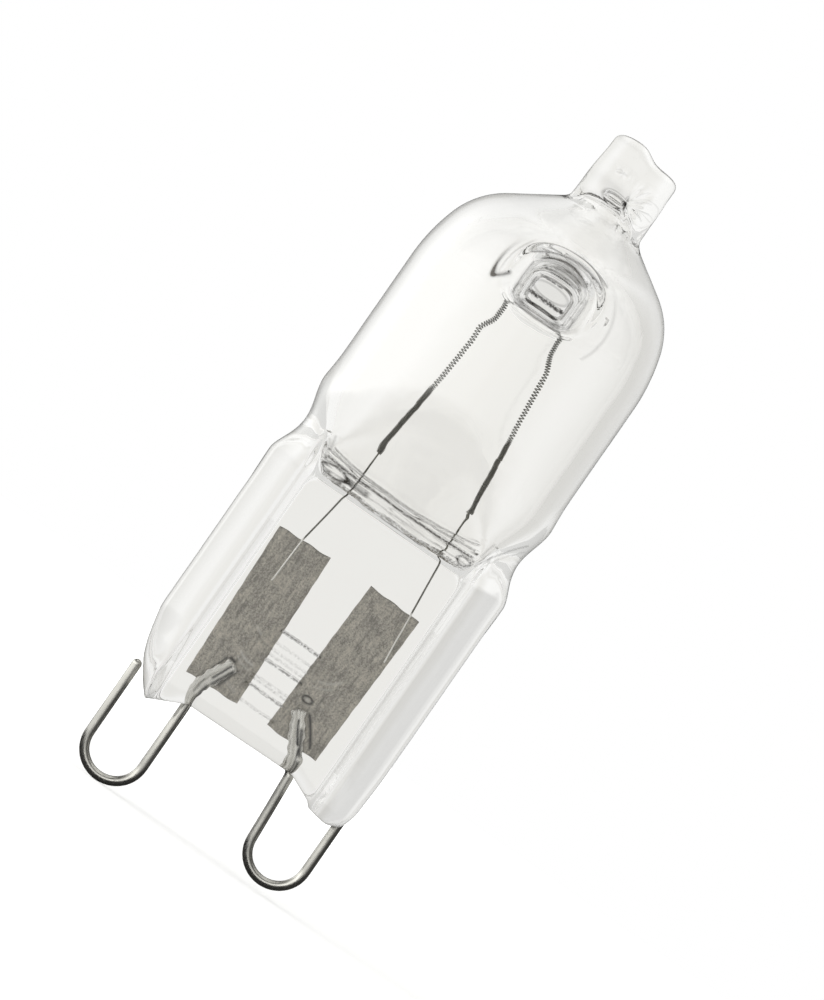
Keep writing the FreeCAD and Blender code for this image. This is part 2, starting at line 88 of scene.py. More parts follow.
# Blown bulb
BULB_RADIUS = GLASS_HIGH[1]
NECK_RADIUS, NECK_HEIGHT = 5.88, 15.05
FLARE_HEIGHT, DOME_START = 17.3, 24.07
SHOULDER_RADIUS, SHOULDER_ANGLE = 9.5, math.radians(17)
CROWN_RADIUS, CROWN_SLOPE = 4.05, math.radians(33)
WALL = 1.0

# Pressed cheeks and pinch
PINCH_HALF = GLASS_HIGH[0]
PINCH_WAIST = NECK_RADIUS - 0.35
WEB_HALF, RAIL_HALF = 1.2, 2.2
RAIL_FOOT, RAIL_CREST = PINCH_HALF - 2.23, PINCH_HALF - 1.63
SHOULDER_HEIGHT = 12.9
CHEEK_FOOT, CHEEK_ANGLE = 13.2, math.radians(46.4)
CREASE_X, CREASE_HEIGHT = PINCH_HALF - 2.18, 14.2
CREASE_SLOPE = (16.2 - CREASE_HEIGHT) / (5.9 - CREASE_X)
LEFT_EDGE = ((-6.4, 1.9), (-6.0, 1.3), (-4.75, 0.0), (-2.9, 0.92))
RIGHT_EDGE = ((2.9, 1.0), (4.2, 0.42), (4.45, 0.16), (5.5, 0.0), (6.2, 0.2), (6.5, 0.75))
FOOT_EDGE = (*LEFT_EDGE, (0.0, 0.95), *RIGHT_EDGE)

# Trough at the foot of the hollow
TROUGH_HALF, TROUGH_FLOOR, TROUGH_SAG = 4.3, 13.42, 0.2
CROWN_INSIDE = 30.2

# Outlines about the post as half-width, rise and drop, and their depths from the middle
POST_X, POST_HEIGHT = 0.1, 26.35
DIMPLE_MOUTH, DIMPLE_THROAT, DIMPLE_FLOOR = (2.8, 1.85, 1.75), (1.5, 1.3, 1.35), (1.38, 0.85, 1.22)
THROAT_DEPTH, FLOOR_DEPTH = 3.4, 0.35
TUBE_MOUTH, TUBE_WAIST, TUBE_MIDDLE = (2.5, 1.8, 1.75), (1.85, 1.65, 1.6), (1.55, 1.3, 1.45)
WAIST_DEPTH = 2.6

# Sealed tip
TIP_ROOT, TIP_FOOT, TIP_TOP = 28.0, 30.4, 34.28

# Level rays of the outer skin and the hollow, as runs of a low, a high and a count
SKIN_RUNS = ((2.5, 12.3, 22), (12.3, 18.6, 62), (18.6, 23.6, 12), (23.6, 30.2, 60), (30.2, 33.35, 46))
HOLLOW_RUNS = ((15.0, 18.4, 30), (18.4, 23.7, 12), (23.7, 28.7, 42))

# Wires
COIL_TOP, COIL_RADIUS, COIL_CLEARANCE = node_box("filament")[1][2] - 0.135, 0.145, 0.02
LEAD_RADIUS, PIN_RADIUS, PIN_DROP = 0.044, 0.24, 1.45


def ease(value, start, end):
    """An S-curve from 0 at start to 1 at end."""
    t = np.clip((value - start) / (end - start), 0.0, 1.0)
    return t * t * (3.0 - 2.0 * t)


def hump(value, middle, width):
    """A bell curve: one at the middle, and about a third at a width from it."""
    return np.exp(-(((value - middle) / width) ** 2))


def smooth_min(a, b, blend):
    """The smaller of two signed sizes, rounded over a band of the width blend."""
    h = np.clip(0.5 + 0.5 * (b - a) / blend, 0.0, 1.0)
    return b + (a - b) * h - blend * h * (1.0 - h)


def smooth_max(a, b, blend):
    """The larger of two signed sizes, rounded over a band of the width blend."""
    return -smooth_min(-a, -b, blend)


def bulb_radius_at(z, wall=0.0):
    """Radius of the blown bulb at height z, inside the outer skin by wall: an S-curve from
    the neck to the cylinder, a wide shoulder arc, a tighter crown arc, then a cone."""
    flare = NECK_RADIUS + (BULB_RADIUS - NECK_RADIUS) * ease(z, NECK_HEIGHT, FLARE_HEIGHT) - wall
    shoulder, crown = SHOULDER_RADIUS - wall, CROWN_RADIUS - wall
    shoulder_x = BULB_RADIUS - SHOULDER_RADIUS
    swing = SHOULDER_RADIUS - CROWN_RADIUS
    crown_x = shoulder_x + swing * math.cos(SHOULDER_ANGLE)
    crown_z = DOME_START + swing * math.sin(SHOULDER_ANGLE)
    cone_z = crown_z + crown * math.cos(CROWN_SLOPE)
    cone_x = crown_x + crown * math.sin(CROWN_SLOPE)
    arc_one = shoulder_x + np.sqrt(np.maximum(shoulder**2 - (z - DOME_START) ** 2, 0.0))
    arc_two = crown_x + np.sqrt(np.maximum(crown**2 - (z - crown_z) ** 2, 0.0))
    cone = cone_x - (z - cone_z) / math.tan(CROWN_SLOPE)
    turn_one = DOME_START + shoulder * math.sin(SHOULDER_ANGLE)
    return np.select([z < DOME_START, z < turn_one, z < cone_z], [flare, arc_one, arc_two], cone)


def pinch_side(x, z):
    """Half-width of the pinch at height z: straight, drawn in to the neck above, with a
    cut corner at the foot on the left and a melted round one on the right."""
    cut_top, cut_tall, cut_wide = 4.0, 2.7, 0.58
    melt_top, melt_tall, melt_wide = 3.4, 2.6, 0.1
    straight = PINCH_HALF + (PINCH_WAIST - PINCH_HALF) * ease(z, SHOULDER_HEIGHT, NECK_HEIGHT)
    flare = (BULB_RADIUS - NECK_RADIUS) * ease(z, NECK_HEIGHT, FLARE_HEIGHT)
    cut = cut_wide * np.clip((cut_top - z) / cut_tall, 0.0, 1.4)
    melted = melt_wide * ease(melt_top - z, 0.0, melt_tall)
    return straight + flare - np.where(x < 0.0, cut, melted)


def tip_top(x):
    """Height of the sealed tip's melted end, which drops by a step from left to right."""
    drop_half, drop_x, drop_width = 0.25, 0.25, 0.45
    return TIP_TOP - drop_half * np.tanh((x - drop_x) / drop_width)


def tip_size(x, y, z):
    """Signed size of the sealed tip: a fifth-power oval section that thins towards its end."""
    climb = np.clip((z - TIP_FOOT) / (TIP_TOP - TIP_FOOT), 0.0, 1.0)
    left = -1.86 + 0.24 * climb
    right = 2.12 - 0.08 * climb
    depth = 1.6 - 0.75 * climb
    middle, half = (left + right) / 2, (right - left) / 2
    power = 5
    section = ((np.abs(x - middle) / half) ** power + (np.abs(y) / depth) ** power) ** (1 / power)
    body = smooth_max((section - 1.0) * depth, z - tip_top(x), 0.55)
    return smooth_max(body, TIP_ROOT - z, 0.3)


def tip_creases(x, y, z):
    """Marks of the pinched-off tube: folds that fan out to the right of the bubble, a dent
    above it and a short run of ripples, all deeper at the front."""
    from_x, from_z = x - 0.45, z - 31.75
    rays = np.sin(9.0 * np.arctan2(from_z, from_x) + 0.6)
    fan = rays * hump(np.hypot(from_x, from_z), 0.75, 0.4) * ease(x, 0.3, 0.8)
    dent = hump(x, -0.2, 0.75) * hump(z, 32.1, 0.35)
    ripple = np.sin(14.0 * x) * hump(x, -0.35, 0.45) * hump(z, 32.8, 0.16)
    return (0.05 * fan + 0.06 * dent + 0.02 * ripple) * np.where(y < 0.0, 1.0, 0.5)


def wave(x, y, z):
    """A slow unevenness of the hand-worked glass, as a sum of two slanted sine waves."""
    slow = np.sin(1.3 * x + 0.7 * z + 0.4) * np.cos(0.9 * y - 0.5 * z)
    quick = np.sin(2.9 * x - 1.7 * z) * np.cos(2.3 * y + 1.1 * z + 0.8)
    return 0.6 * slow + 0.4 * quick


def cheek_size(y, z, reach):
    """Signed size of the two slanted cheeks, which stand off the middle by reach at their foot."""
    lean = (z - CHEEK_FOOT) * math.tan(CHEEK_ANGLE)
    return (np.abs(y) - reach - lean) * math.cos(CHEEK_ANGLE)


def outer_size(x, y, z):
    """Signed size of the glass's outside, negative in the glass: the blown bulb cut by two
    slanted cheeks, joined to a web between two rails and to the sealed tip, with a small dent
    in each rail."""
    across, deep = np.abs(x), np.abs(y)
    bulb = np.hypot(x, y) - bulb_radius_at(z)
    blown = smooth_max(bulb, cheek_size(y, z, WEB_HALF), 1.5)
    thick = WEB_HALF + (RAIL_HALF - WEB_HALF) * ease(across, RAIL_FOOT, RAIL_CREST)
    pinch = smooth_max(deep - thick, across - pinch_side(x, z), 1.3)
    foot = np.interp(x, *zip(*FOOT_EDGE))
    pinch = smooth_max(pinch, foot - z, 0.6 + 0.5 * ease(-x, 3.4, 4.6))
    crease = CREASE_HEIGHT + CREASE_SLOPE * np.maximum(across - CREASE_X, 0.0)
    pinch = smooth_max(pinch, (z - crease) * 0.6, 1.3)
    pressed = smooth_min(blown, pinch, 0.15 + 1.1 * ease(across, 3.9, 5.0))
    fillet = 0.25 + 0.9 * ease(deep, 0.4, 1.4) * ease(across, 1.7, 1.0) + 0.2 * ease(x, 1.0, 1.8)
    glass = smooth_min(pressed, tip_size(x, y, z), fillet)
    unevenness = 0.006 + 0.03 * ease(z, 31.2, 32.2)
    dents = hump(x, -5.65, 0.3) * hump(z, 3.4, 0.35) + hump(x, 5.35, 0.16) * hump(z, 1.9, 0.9)
    return glass + unevenness * wave(x, y, z) + tip_creases(x, y, z) + 0.06 * dents


def funnel_size(x, y, z):
    """Signed size of the funnel that draws the hollow up into the tip: a throat that widens
    below its top by the power 1.3 of the distance, and is wider across the lamp near the top."""
    top, bottom, centre_x, throat, widening = 31.1, 28.6, 0.12, 0.62, 0.62
    flare = throat + widening * np.maximum(top - z, 0.0) ** 1.3
    wide = 1.0 + 0.85 * ease(z, 30.0, 31.0)
    bore = (np.hypot((x - centre_x) / wide, y) - flare) * 0.7
    return smooth_max(bore, np.maximum(z - top, bottom - z), 0.5)


def hollow_size(x, y, z):
    """Signed size of the hollow, negative inside it: the bulb one wall in, drawn up to the tip
    by a funnel, and closed below by rippled inner cheeks and a rounded trough that dips in the
    middle."""
    bulb = np.hypot(x, y) - bulb_radius_at(z, WALL)
    sag = TROUGH_SAG * (x / TROUGH_HALF) ** 2
    level = z - sag
    ripple = np.sin(2 * math.pi * (level - 13.5) / 0.42 + 0.7 * np.sin(1.9 * x))
    ripple = ripple * (0.6 + 0.4 * np.sin(2.7 * x + 1.0)) * ease(level, 13.3, 13.7) * ease(level, 15.1, 14.4)
    cheek = cheek_size(y, z, WEB_HALF - WALL / math.cos(CHEEK_ANGLE)) + 0.02 * ripple
    side = (np.abs(x) - TROUGH_HALF - (z - 14.0) * 0.5) * 0.9
    floor = TROUGH_FLOOR - level + 0.05 * np.sin(2.6 * x + 0.4) * np.sin(5.3 * x)
    body = smooth_max(bulb, cheek, 0.4 + 0.9 * ease(z, 14.0, 17.0))
    body = smooth_max(smooth_max(body, floor, 0.35), side, 0.3)
    body = smooth_max(body, z - CROWN_INSIDE, 1.2)
    return smooth_min(body, funnel_size(x, y, z), 0.5)


def cast(size, origin, direction, reach=12.0):
    """Where rays leave a form: the step along each ray at which its signed size turns
    positive, found by halving the ray again and again."""
    low = np.zeros(origin.shape[:-1])
    high = np.full(origin.shape[:-1], reach)
    for _ in range(36):
        middle = (low + high) / 2
        point = origin + direction * middle[..., None]
        inside = size(point[..., 0], point[..., 1], point[..., 2]) < 0.0
        low = np.where(inside, middle, low)
        high = np.where(inside, high, middle)
    return origin + direction * low[..., None]


def ray_columns(inner, outer, fan, share=0.78):
    """Columns of rays round a section: places along its spine from -1 to 1 and headings,
    across the front, round the right end, across the back and round the left end."""
    half = np.concatenate([np.linspace(0.0, share, inner, endpoint=False), np.linspace(share, 1.0, outer)])
    front = np.concatenate([-half[:0:-1], half])
    turn = np.linspace(-90.0, 90.0, fan + 2)[1:-1]
    place = np.concatenate([front, np.ones(fan), front[::-1], -np.ones(fan)])
    ahead = np.full(front.size, -90.0)
    heading = np.concatenate([ahead, turn, -ahead, turn + 180.0])
    return place, np.radians(heading), front.size


def ray_rows(runs, down, up):
    """Heights and tilts of a sheet's rays: tilted up from straight down at the lowest height,
    level through the runs, then tilted up to straight up at the highest."""
    level = np.concatenate([np.linspace(low, high, count, endpoint=False) for low, high, count in runs])
    heights = np.concatenate([np.full(down, runs[0][0]), level, np.full(up, runs[-1][1])])
    rising = np.linspace(-90.0, 0.0, down, endpoint=False)
    tilts = np.concatenate([rising, np.zeros(level.size), np.linspace(0.0, 90.0, up)])
    return heights, np.radians(tilts)


def ray_sheet(size, spine_half, heights, tilts, columns):
    """A closed sheet on a form: from each height on a spine across the lamp, rays go out
    level or tilted, and the sheet passes through the points where they leave the form."""
    place, heading, _ = columns
    height, place = np.meshgrid(heights, place, indexing="ij")
    tilt, heading = np.meshgrid(tilts, heading, indexing="ij")
    origin = np.stack([place * spine_half(height), np.zeros_like(height), height], axis=-1)
    level = np.cos(tilt)
    direction = np.stack([np.cos(heading) * level, np.sin(heading) * level, np.sin(tilt)], axis=-1)
    return cast(size, origin, direction)


def ring_quads(rings):
    """Corner indices between rings of equal length, given as rows of vertex indices."""
    after = np.roll(rings, -1, axis=1)
    corners = [rings[:-1], after[:-1], after[1:], rings[1:]]
    return np.stack(corners, axis=-1).reshape(-1, 4)


def window_loop(rows, columns, total):
    """Indices round the edge of a window in a sheet, along its foot, up, back and down."""
    (low, high), (left, right) = rows, columns
    step = 1 if right > left else -1
    foot = low * total + np.arange(left, right, step)
    rise = np.arange(low, high) * total + right
    head = high * total + np.arange(right, left, -step)
    fall = np.arange(high, low, -1) * total + left
    return np.concatenate([foot, rise, head, fall])


def post_outline(loop, half_width, rise, drop, head=2.6, foot=5.0):
    """Points of an outline about the post, one for each point of a loop and in the same
    direction from the post: a power oval, rise high and arched by the power head above the
    middle, drop deep and squarer by the power foot below it."""
    across = np.abs(loop[:, 0] - POST_X) / np.ptp(loop[:, 0])
    up = np.abs(loop[:, 2] - POST_HEIGHT) / np.ptp(loop[:, 2])
    above = loop[:, 2] > POST_HEIGHT
    power = np.where(above, head, foot)
    size = (across**power + up**power) ** (1.0 / power)
    x = POST_X + half_width * np.sign(loop[:, 0] - POST_X) * across / size
    z = POST_HEIGHT + np.where(above, rise, -drop) * up / size
    return np.stack([x, z], axis=-1)


def at_depth(plan, depth):
    """Points in space from a plan in x and z and a depth for each of its points."""
    return np.stack([plan[..., 0], np.broadcast_to(depth, plan.shape[:-1]), plan[..., 1]], axis=-1)


def pressed_rings(size, loop, side, steps, mouth_half, end_half, end_depth):
    """Rings from a loop on a form's wall that turn in towards the lamp's middle. They first
    close on the wall to an oval mouth. Then their outline runs from the mouth to the end's by
    a sine, and their depth from the wall to end_depth by one minus the cosine raised to 1.5,
    so they leave the wall without a crease."""
    on_wall = np.linspace(0.0, 1.0, steps // 3 + 1)[1:, None, None]
    turn = np.linspace(0.0, math.pi / 2, steps + 1)[1:]
    start = loop[:, (0, 2)]
    mouth = post_outline(loop, *mouth_half, head=2.2, foot=2.2)
    target = post_outline(loop, *end_half)
    turning = mouth + (target - mouth) * np.sin(turn)[:, None, None]
    plan = np.concatenate([start + (mouth - start) * on_wall, turning])
    sunk = np.concatenate([np.zeros(on_wall.size), (1.0 - np.cos(turn)) ** 1.5])
    origin = at_depth(plan, 0.0)
    wall = cast(size, origin, np.broadcast_to((0.0, float(side), 0.0), origin.shape))[..., 1]
    return at_depth(plan, wall + (side * end_depth - wall) * sunk[:, None])


def dimple_floor(loop, side, steps):
    """Rings from a dimple's throat down its steep walls and in across its floor: an
    eighth-power quarter oval in depth and width, with the section easing to the floor's."""
    turn = np.linspace(0.0, math.pi / 2, steps + 1)[1:]
    fall = np.sin(turn) ** 0.25
    spread = np.maximum(np.cos(turn), 0.0) ** 0.25
    throat = post_outline(loop, *DIMPLE_THROAT)
    floor = post_outline(loop, *DIMPLE_FLOOR)
    section = throat + (floor - throat) * fall[:, None, None]
    centre = np.array([POST_X, POST_HEIGHT])
    plan = centre + (section - centre) * spread[:, None, None]
    depth = side * (THROAT_DEPTH + (FLOOR_DEPTH - THROAT_DEPTH) * fall)
    return at_depth(plan, depth[:, None])


class Surface:
    """Vertices and quads gathered from several sheets before they become one mesh."""

    def __init__(self):
        self.points = np.zeros((0, 3))
        self.quads = np.zeros((0, 4), dtype=int)

    def add_points(self, points):
        """Append points and return their indices in the same shape."""
        start = len(self.points)
        flat = points.reshape(-1, 3)
        self.points = np.concatenate([self.points, flat])
        return start + np.arange(len(flat)).reshape(points.shape[:-1])

    def add_quads(self, quads, inward=False):
        """Append quads, turned round where the surface bounds a hollow."""
        self.quads = np.concatenate([self.quads, quads[:, ::-1] if inward else quads])

    def add_sheet(self, points, inward=False):
        """Append a sheet of rows that closes round its columns."""
        self.add_quads(ring_quads(self.add_points(points)), inward)


def one_sheet(points):
    """A surface that is a single closed sheet."""
    surface = Surface()
    surface.add_sheet(points)
    return surface


def make_piece(name, surface, material, node):
    """Turn a gathered surface into a smooth mesh object in metres, with the points of its
    poles and seams merged, and fix it to the lamp's one body in place of its CAD node."""
    mesh = bpy.data.meshes.new(name)
    mesh.from_pydata(surface.points.tolist(), [], surface.quads.tolist())
    work = bmesh.new()
    work.from_mesh(mesh)
    bmesh.ops.remove_doubles(work, verts=work.verts, dist=1e-4)
    bmesh.ops.dissolve_degenerate(work, edges=work.edges, dist=1e-6)
    work.to_mesh(mesh)
    work.free()
    mesh.transform(Matrix.Scale(MM, 4))
    mesh.polygons.foreach_set("use_smooth", np.ones(len(mesh.polygons), dtype=bool))
    mesh.materials.append(material)
    item = bpy.data.objects.new(name, mesh)
    bpy.context.scene.collection.objects.link(item)
    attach(item, "root")
    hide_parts(node)


def outer_spine(z):
    """Half-length of the spine that the outer skin's rays start from."""
    wide = np.where(z < NECK_HEIGHT, PINCH_HALF, bulb_radius_at(z))
    return np.minimum(5.2, 0.8 * np.maximum(wide, 1.8))


def hollow_spine(z):
    """Half-length of the spine that the hollow's rays start from."""
    return np.minimum(3.9, 0.8 * bulb_radius_at(z, WALL))


def add_windowed_sheet(surface, points, heights, columns, span, share, inward=False):
    """Append a ray sheet with a window in its front and its back, between the heights of a
    span and inside a share of the spine. Returns the indices of the loops round the two
    windows, which run side by side."""
    place, _, front_count = columns
    total = points.shape[1]
    rows = np.flatnonzero((heights > span[0]) & (heights < span[1]))
    open_columns = np.flatnonzero(np.abs(place[:front_count]) < share)
    low, high = rows[[0, -1]]
    left, right = open_columns[[0, -1]]
    last = total // 2 + front_count - 1
    index = surface.add_points(points)
    kept = np.ones((len(points) - 1, total), dtype=bool)
    kept[low:high, left:right] = False
    kept[low:high, last - right : last - left] = False
    surface.add_quads(ring_quads(index)[kept.ravel()], inward)
    front = window_loop((low, high), (left, right), total)
    back = window_loop((low, high), (last - left, last - right), total)
    return index.ravel()[front], index.ravel()[back]


def add_skin(surface):
    """Append the outer skin with the two dimples pressed into it."""
    columns = ray_columns(inner=26, outer=15, fan=22)
    heights, tilts = ray_rows(SKIN_RUNS, down=24, up=24)
    skin = ray_sheet(outer_size, outer_spine, heights, tilts, columns)
    loops = add_windowed_sheet(surface, skin, heights, columns, (23.9, 28.8), 0.62)
    for loop, side in zip(loops, (-1, 1)):
        edge = surface.points[loop]
        mouth = pressed_rings(outer_size, edge, side, 24, DIMPLE_MOUTH, DIMPLE_THROAT, THROAT_DEPTH)
        rings = surface.add_points(np.concatenate([mouth, dimple_floor(edge, side, 26)]))
        surface.add_quads(ring_quads(np.concatenate([loop[None], rings])), side > 0)


def add_hollow(surface):
    """Append the hollow with the post's tube through it, slimmer by a parabola to its middle."""
    columns = ray_columns(inner=22, outer=5, fan=20)
    heights, tilts = ray_rows(HOLLOW_RUNS, down=34, up=30)
    skin = ray_sheet(hollow_size, hollow_spine, heights, tilts, columns)
    loops = add_windowed_sheet(surface, skin, heights, columns, (24.1, 28.5), 0.76, True)
    edges = [surface.points[loop] for loop in loops]
    near, far = [
        pressed_rings(hollow_size, edge, side, 18, TUBE_MOUTH, TUBE_WAIST, WAIST_DEPTH)
        for edge, side in zip(edges, (-1, 1))
    ]
    depth = np.linspace(-WAIST_DEPTH, WAIST_DEPTH, 18)[1:-1]
    slim = (1.0 - (depth / WAIST_DEPTH) ** 2)[:, None, None]
    waist = post_outline(edges[0], *TUBE_WAIST)
    plan = waist + (post_outline(edges[0], *TUBE_MIDDLE) - waist) * slim
    tube = surface.add_points(np.concatenate([near, at_depth(plan, depth[:, None]), far[::-1]]))
    front, back = loops
    surface.add_quads(ring_quads(np.concatenate([front[None], tube, back[None]])), True)


def signed_root(value):
    """Square root of a value's size, with its sign."""
    return np.sign(value) * np.sqrt(np.abs(value))


def tip_bubble():
    """The bubble left in the sealed tip: a fourth-power oval with flat faces, shallower below
    its middle than above, and leaning a little to the right."""
    centre_x, centre_z, lean = 0.02, 31.57, 0.06
    half_wide, half_deep, rise_high, drop_deep = 0.6, 0.36, 0.25, 0.2
    around = np.linspace(0.0, 2 * math.pi, 48, endpoint=False)
    turn, climb = np.meshgrid(around, np.radians(np.linspace(-90.0, 90.0, 30)))
    level, rise = signed_root(np.cos(climb)), signed_root(np.sin(climb))
    x = centre_x + half_wide * level * signed_root(np.cos(turn)) + lean * rise
    y = half_deep * level * signed_root(np.sin(turn))
    z = centre_z + np.where(rise > 0.0, rise_high, drop_deep) * rise
    return np.stack([x, y, z], axis=-1)


def build_glass():
    """The whole envelope as one closed surface: the outer skin with two dimples, the hollow
    with the post's tube through it, and the bubble left in the sealed tip."""
    surface = Surface()
    add_skin(surface)
    add_hollow(surface)
    surface.add_sheet(tip_bubble(), inward=True)
    return surface


def even_route(points, spacing, soften):
    """A flat route through points, sampled evenly and then averaged along its length over the
    distance soften, which turns its corners into bends."""
    points = np.asarray(points, dtype=float)
    length = np.concatenate([[0.0], np.cumsum(np.linalg.norm(np.diff(points, axis=0), axis=1))])
    count = max(int(length[-1] / spacing), 2)
    along = np.linspace(0.0, length[-1], count + 1)
    route = np.stack([np.interp(along, length, part) for part in points.T], axis=-1)
    reach = int(soften / spacing)
    kernel = np.hanning(2 * reach + 3)[1:-1]
    kernel /= kernel.sum()
    before, beyond = 2 * route[0] - route[reach:0:-1], 2 * route[-1] - route[-2 : -reach - 2 : -1]
    padded = np.concatenate([before, route, beyond])
    return np.stack([np.convolve(part, kernel, mode="valid") for part in padded.T], axis=-1)


def route_frame(route):
    """Direction of a flat route in x and z, and the direction to its side."""
    ahead = np.gradient(route, axis=0)
    ahead /= np.linalg.norm(ahead, axis=1)[:, None]
    return ahead, np.stack([ahead[:, 1], -ahead[:, 0]], axis=-1)


def wire_sheet(route, depth, half_wide, half_deep, sides, groove=0.0):
    """A wire along a flat route in x and z, at a depth: an oval section carried along it,
    with round ends. A groove pulls the section in along the middle of its two faces."""
    bow = np.radians(np.linspace(90.0, 0.0, 6, endpoint=False))
    ends = (bow.size, bow.size)

    def spread(values):
        return np.pad(np.broadcast_to(values, len(route)), ends, mode="edge")

    wide, deep = spread(half_wide), spread(half_deep)
    ahead, side = route_frame(route)
    side = np.pad(side, (ends, (0, 0)), mode="edge")
    lead_in = route[0] - ahead[0] * (deep[0] * np.sin(bow))[:, None]
    lead_out = route[-1] + ahead[-1] * (deep[-1] * np.sin(bow[::-1]))[:, None]
    line = np.concatenate([lead_in, route, lead_out])
    shrink = np.concatenate([np.cos(bow), np.ones(len(route)), np.cos(bow[::-1])])
    turn = np.linspace(0.0, 2 * math.pi, sides, endpoint=False)
    across = (wide * shrink)[:, None] * np.cos(turn)
    notch = spread(groove)[:, None] * hump(np.cos(turn), 0.0, 0.28)
    behind = (deep * shrink)[:, None] * np.sin(turn) * (1.0 - notch) + depth
    x = line[:, :1] + side[:, :1] * across
    z = line[:, 1:] + side[:, 1:] * across
    return np.stack([x, behind, z], axis=-1)


def coil_sheet(route, depth, radius, wire, pitch, sides=7, per_turn=18):
    """A wire wound round a flat route: its angle grows by one turn for each pitch of the
    way along, and a round section is carried along that helix."""
    step = np.linalg.norm(np.diff(route, axis=0), axis=1)
    turns = np.concatenate([[0.0], np.cumsum(step / ((pitch[1:] + pitch[:-1]) / 2))])
    sample = np.linspace(0.0, turns[-1], int(turns[-1] * per_turn))
    line = np.stack([np.interp(sample, turns, part) for part in route.T], axis=-1)
    _, side = route_frame(line)
    angle = 2 * math.pi * sample
    out = np.stack([side[:, 0] * np.cos(angle), np.sin(angle), side[:, 1] * np.cos(angle)], axis=-1)
    centre = at_depth(line, depth) + radius * out
    ahead = np.gradient(centre, axis=0)
    ahead /= np.linalg.norm(ahead, axis=1)[:, None]
    level = np.cross(ahead, out)
    turn = np.linspace(0.0, 2 * math.pi, sides, endpoint=False)[:, None]
    thick = np.ones(len(line))
    thick[[0, -1]] = 0.02
    ring = out[:, None] * np.cos(turn) + level[:, None] * np.sin(turn)
    return centre[:, None] + wire * thick[:, None, None] * ring


def build_filament(settings):
    """The coiled filament: close turns on its two feet, open turns above, a little closer
    again by the post, and the free bends of a hairpin hung over the post."""
    left = [(-2.30, 15.95), (-2.11, 17.9), (-1.92, 19.7), (-1.73, 22.5)]
    left += [(-1.80, 23.2), (-1.42, 23.85), (-1.36, 24.6)]
    right = [(1.60, 24.7), (1.68, 24.0), (2.04, 23.15)]
    right += [(2.16, 21.9), (2.35, 19.9), (2.53, 18.0), (2.72, 15.95)]
    clear = TUBE_MIDDLE[0] + COIL_RADIUS + COIL_CLEARANCE
    half_arch = [(clear, 25.6), (clear, 26.6), (clear - 0.2, 27.35), (clear - 0.8, COIL_TOP)]
    rise = [(POST_X - out, z) for out, z in half_arch]
    fall = [(POST_X + out, z) for out, z in reversed(half_arch)]
    route = even_route(left + rise + fall + right, spacing=0.02, soften=0.25)
    opened = ease(route[:, 1], 19.2, 19.9) * (1.0 - 0.45 * ease(route[:, 1], 22.9, 23.6))
    pitch = settings.dense_pitch / MM + (settings.open_pitch - settings.dense_pitch) / MM * opened
    wire = settings.wire_radius / MM
    return one_sheet(coil_sheet(route, node_middle("filament")[1], COIL_RADIUS - wire, wire, pitch))


def build_lead(points, node):
    """A lead: a thin round wire with the small kinks of hand mounting."""
    route = even_route(points, spacing=0.03, soften=0.09)
    return one_sheet(wire_sheet(route, node_middle(node)[1], LEAD_RADIUS, LEAD_RADIUS, 10))


def pin_route(outer_x, inner_x, end, bottom, tail):
    """A looped pin's line: down the free leg, round a half oval, up the sealed leg and
    along its tail over the foil."""
    half = (inner_x - outer_x) / 2
    middle = (inner_x + outer_x) / 2
    swing = np.linspace(0.0, math.pi, 24)
    bend = np.stack([middle - half * np.cos(swing), bottom + PIN_DROP - PIN_DROP * np.sin(swing)], axis=-1)
    return np.concatenate([[(outer_x, end)], bend, np.array(tail)])


def build_pin(route, flat_from):
    """A looped pin: round drawn wire, flattened and grooved where it is welded to its foil."""
    flat_run, widening, thinning, groove = 0.9, 0.14, 0.07, 0.6
    line = even_route(route, spacing=0.05, soften=0.3)
    height = line[:, 1]
    tail = ease(height, flat_from, flat_from + flat_run) * (np.arange(len(line)) > len(line) / 2)
    ripple = 0.06 * tail * np.sin(9.0 * height) * np.sin(4.0 * height + 1.0)
    wide = PIN_RADIUS + widening * tail + ripple
    deep = PIN_RADIUS - thinning * tail
    return one_sheet(wire_sheet(line, 0.0, wide, deep, 28, groove * tail))


def build_foil(node, phase, settings):
    """A sealing foil: a thin lens section carried up a leaning strip, crumpled by a sum of
    slanted waves that is stronger near the weld, with rings round the weld."""
    middle = node_middle(node)
    outward = np.sign(middle[0])
    half_wide, half_tall, half_thick, lean = 1.41, 4.05, 0.025, math.radians(2.0) * outward
    around = np.linspace(0.0, 2 * math.pi, 120, endpoint=False)
    turn, climb = np.meshgrid(around, np.linspace(-1.0, 1.0, 170))
    ragged = 1.0 + 0.008 * np.sin(23.0 * climb + phase) * np.sin(7.0 * climb)
    across = half_wide * np.cos(turn) * ragged
    up = half_tall * climb
    up = up + 0.025 * np.sin(5.0 * across + phase) * climb**8
    ends = np.minimum(1.0, 40.0 * (1.0 - np.abs(climb)))
    lens = half_thick * np.sign(np.sin(turn)) * (1.0 - np.cos(turn) ** 8) * ends
    near_weld = ease(-climb, 0.1, 0.9)
    crumple = np.sin(2.1 * across + 1.3 * up + phase) * np.sin(0.8 * up - 1.9 * across)
    fine = np.sin(6.3 * across + 2.2 * up + 2 * phase) * np.sin(3.7 * up - 4.1 * across + phase)
    rise = settings.foil_crumple / MM * (crumple * (0.5 + near_weld) + 0.5 * fine * (0.4 + near_weld))
    from_weld = np.hypot(across + 0.3 * outward, up + 2.6)
    rise = rise + 0.015 * np.sin(2 * math.pi * from_weld / 0.55) * hump(from_weld, 0.0, 1.3)
    x = middle[0] + across * math.cos(lean) + up * math.sin(lean)
    y = middle[1] + lens + rise
    z = middle[2] - across * math.sin(lean) + up * math.cos(lean)
    return one_sheet(np.stack([x, y, z], axis=-1))


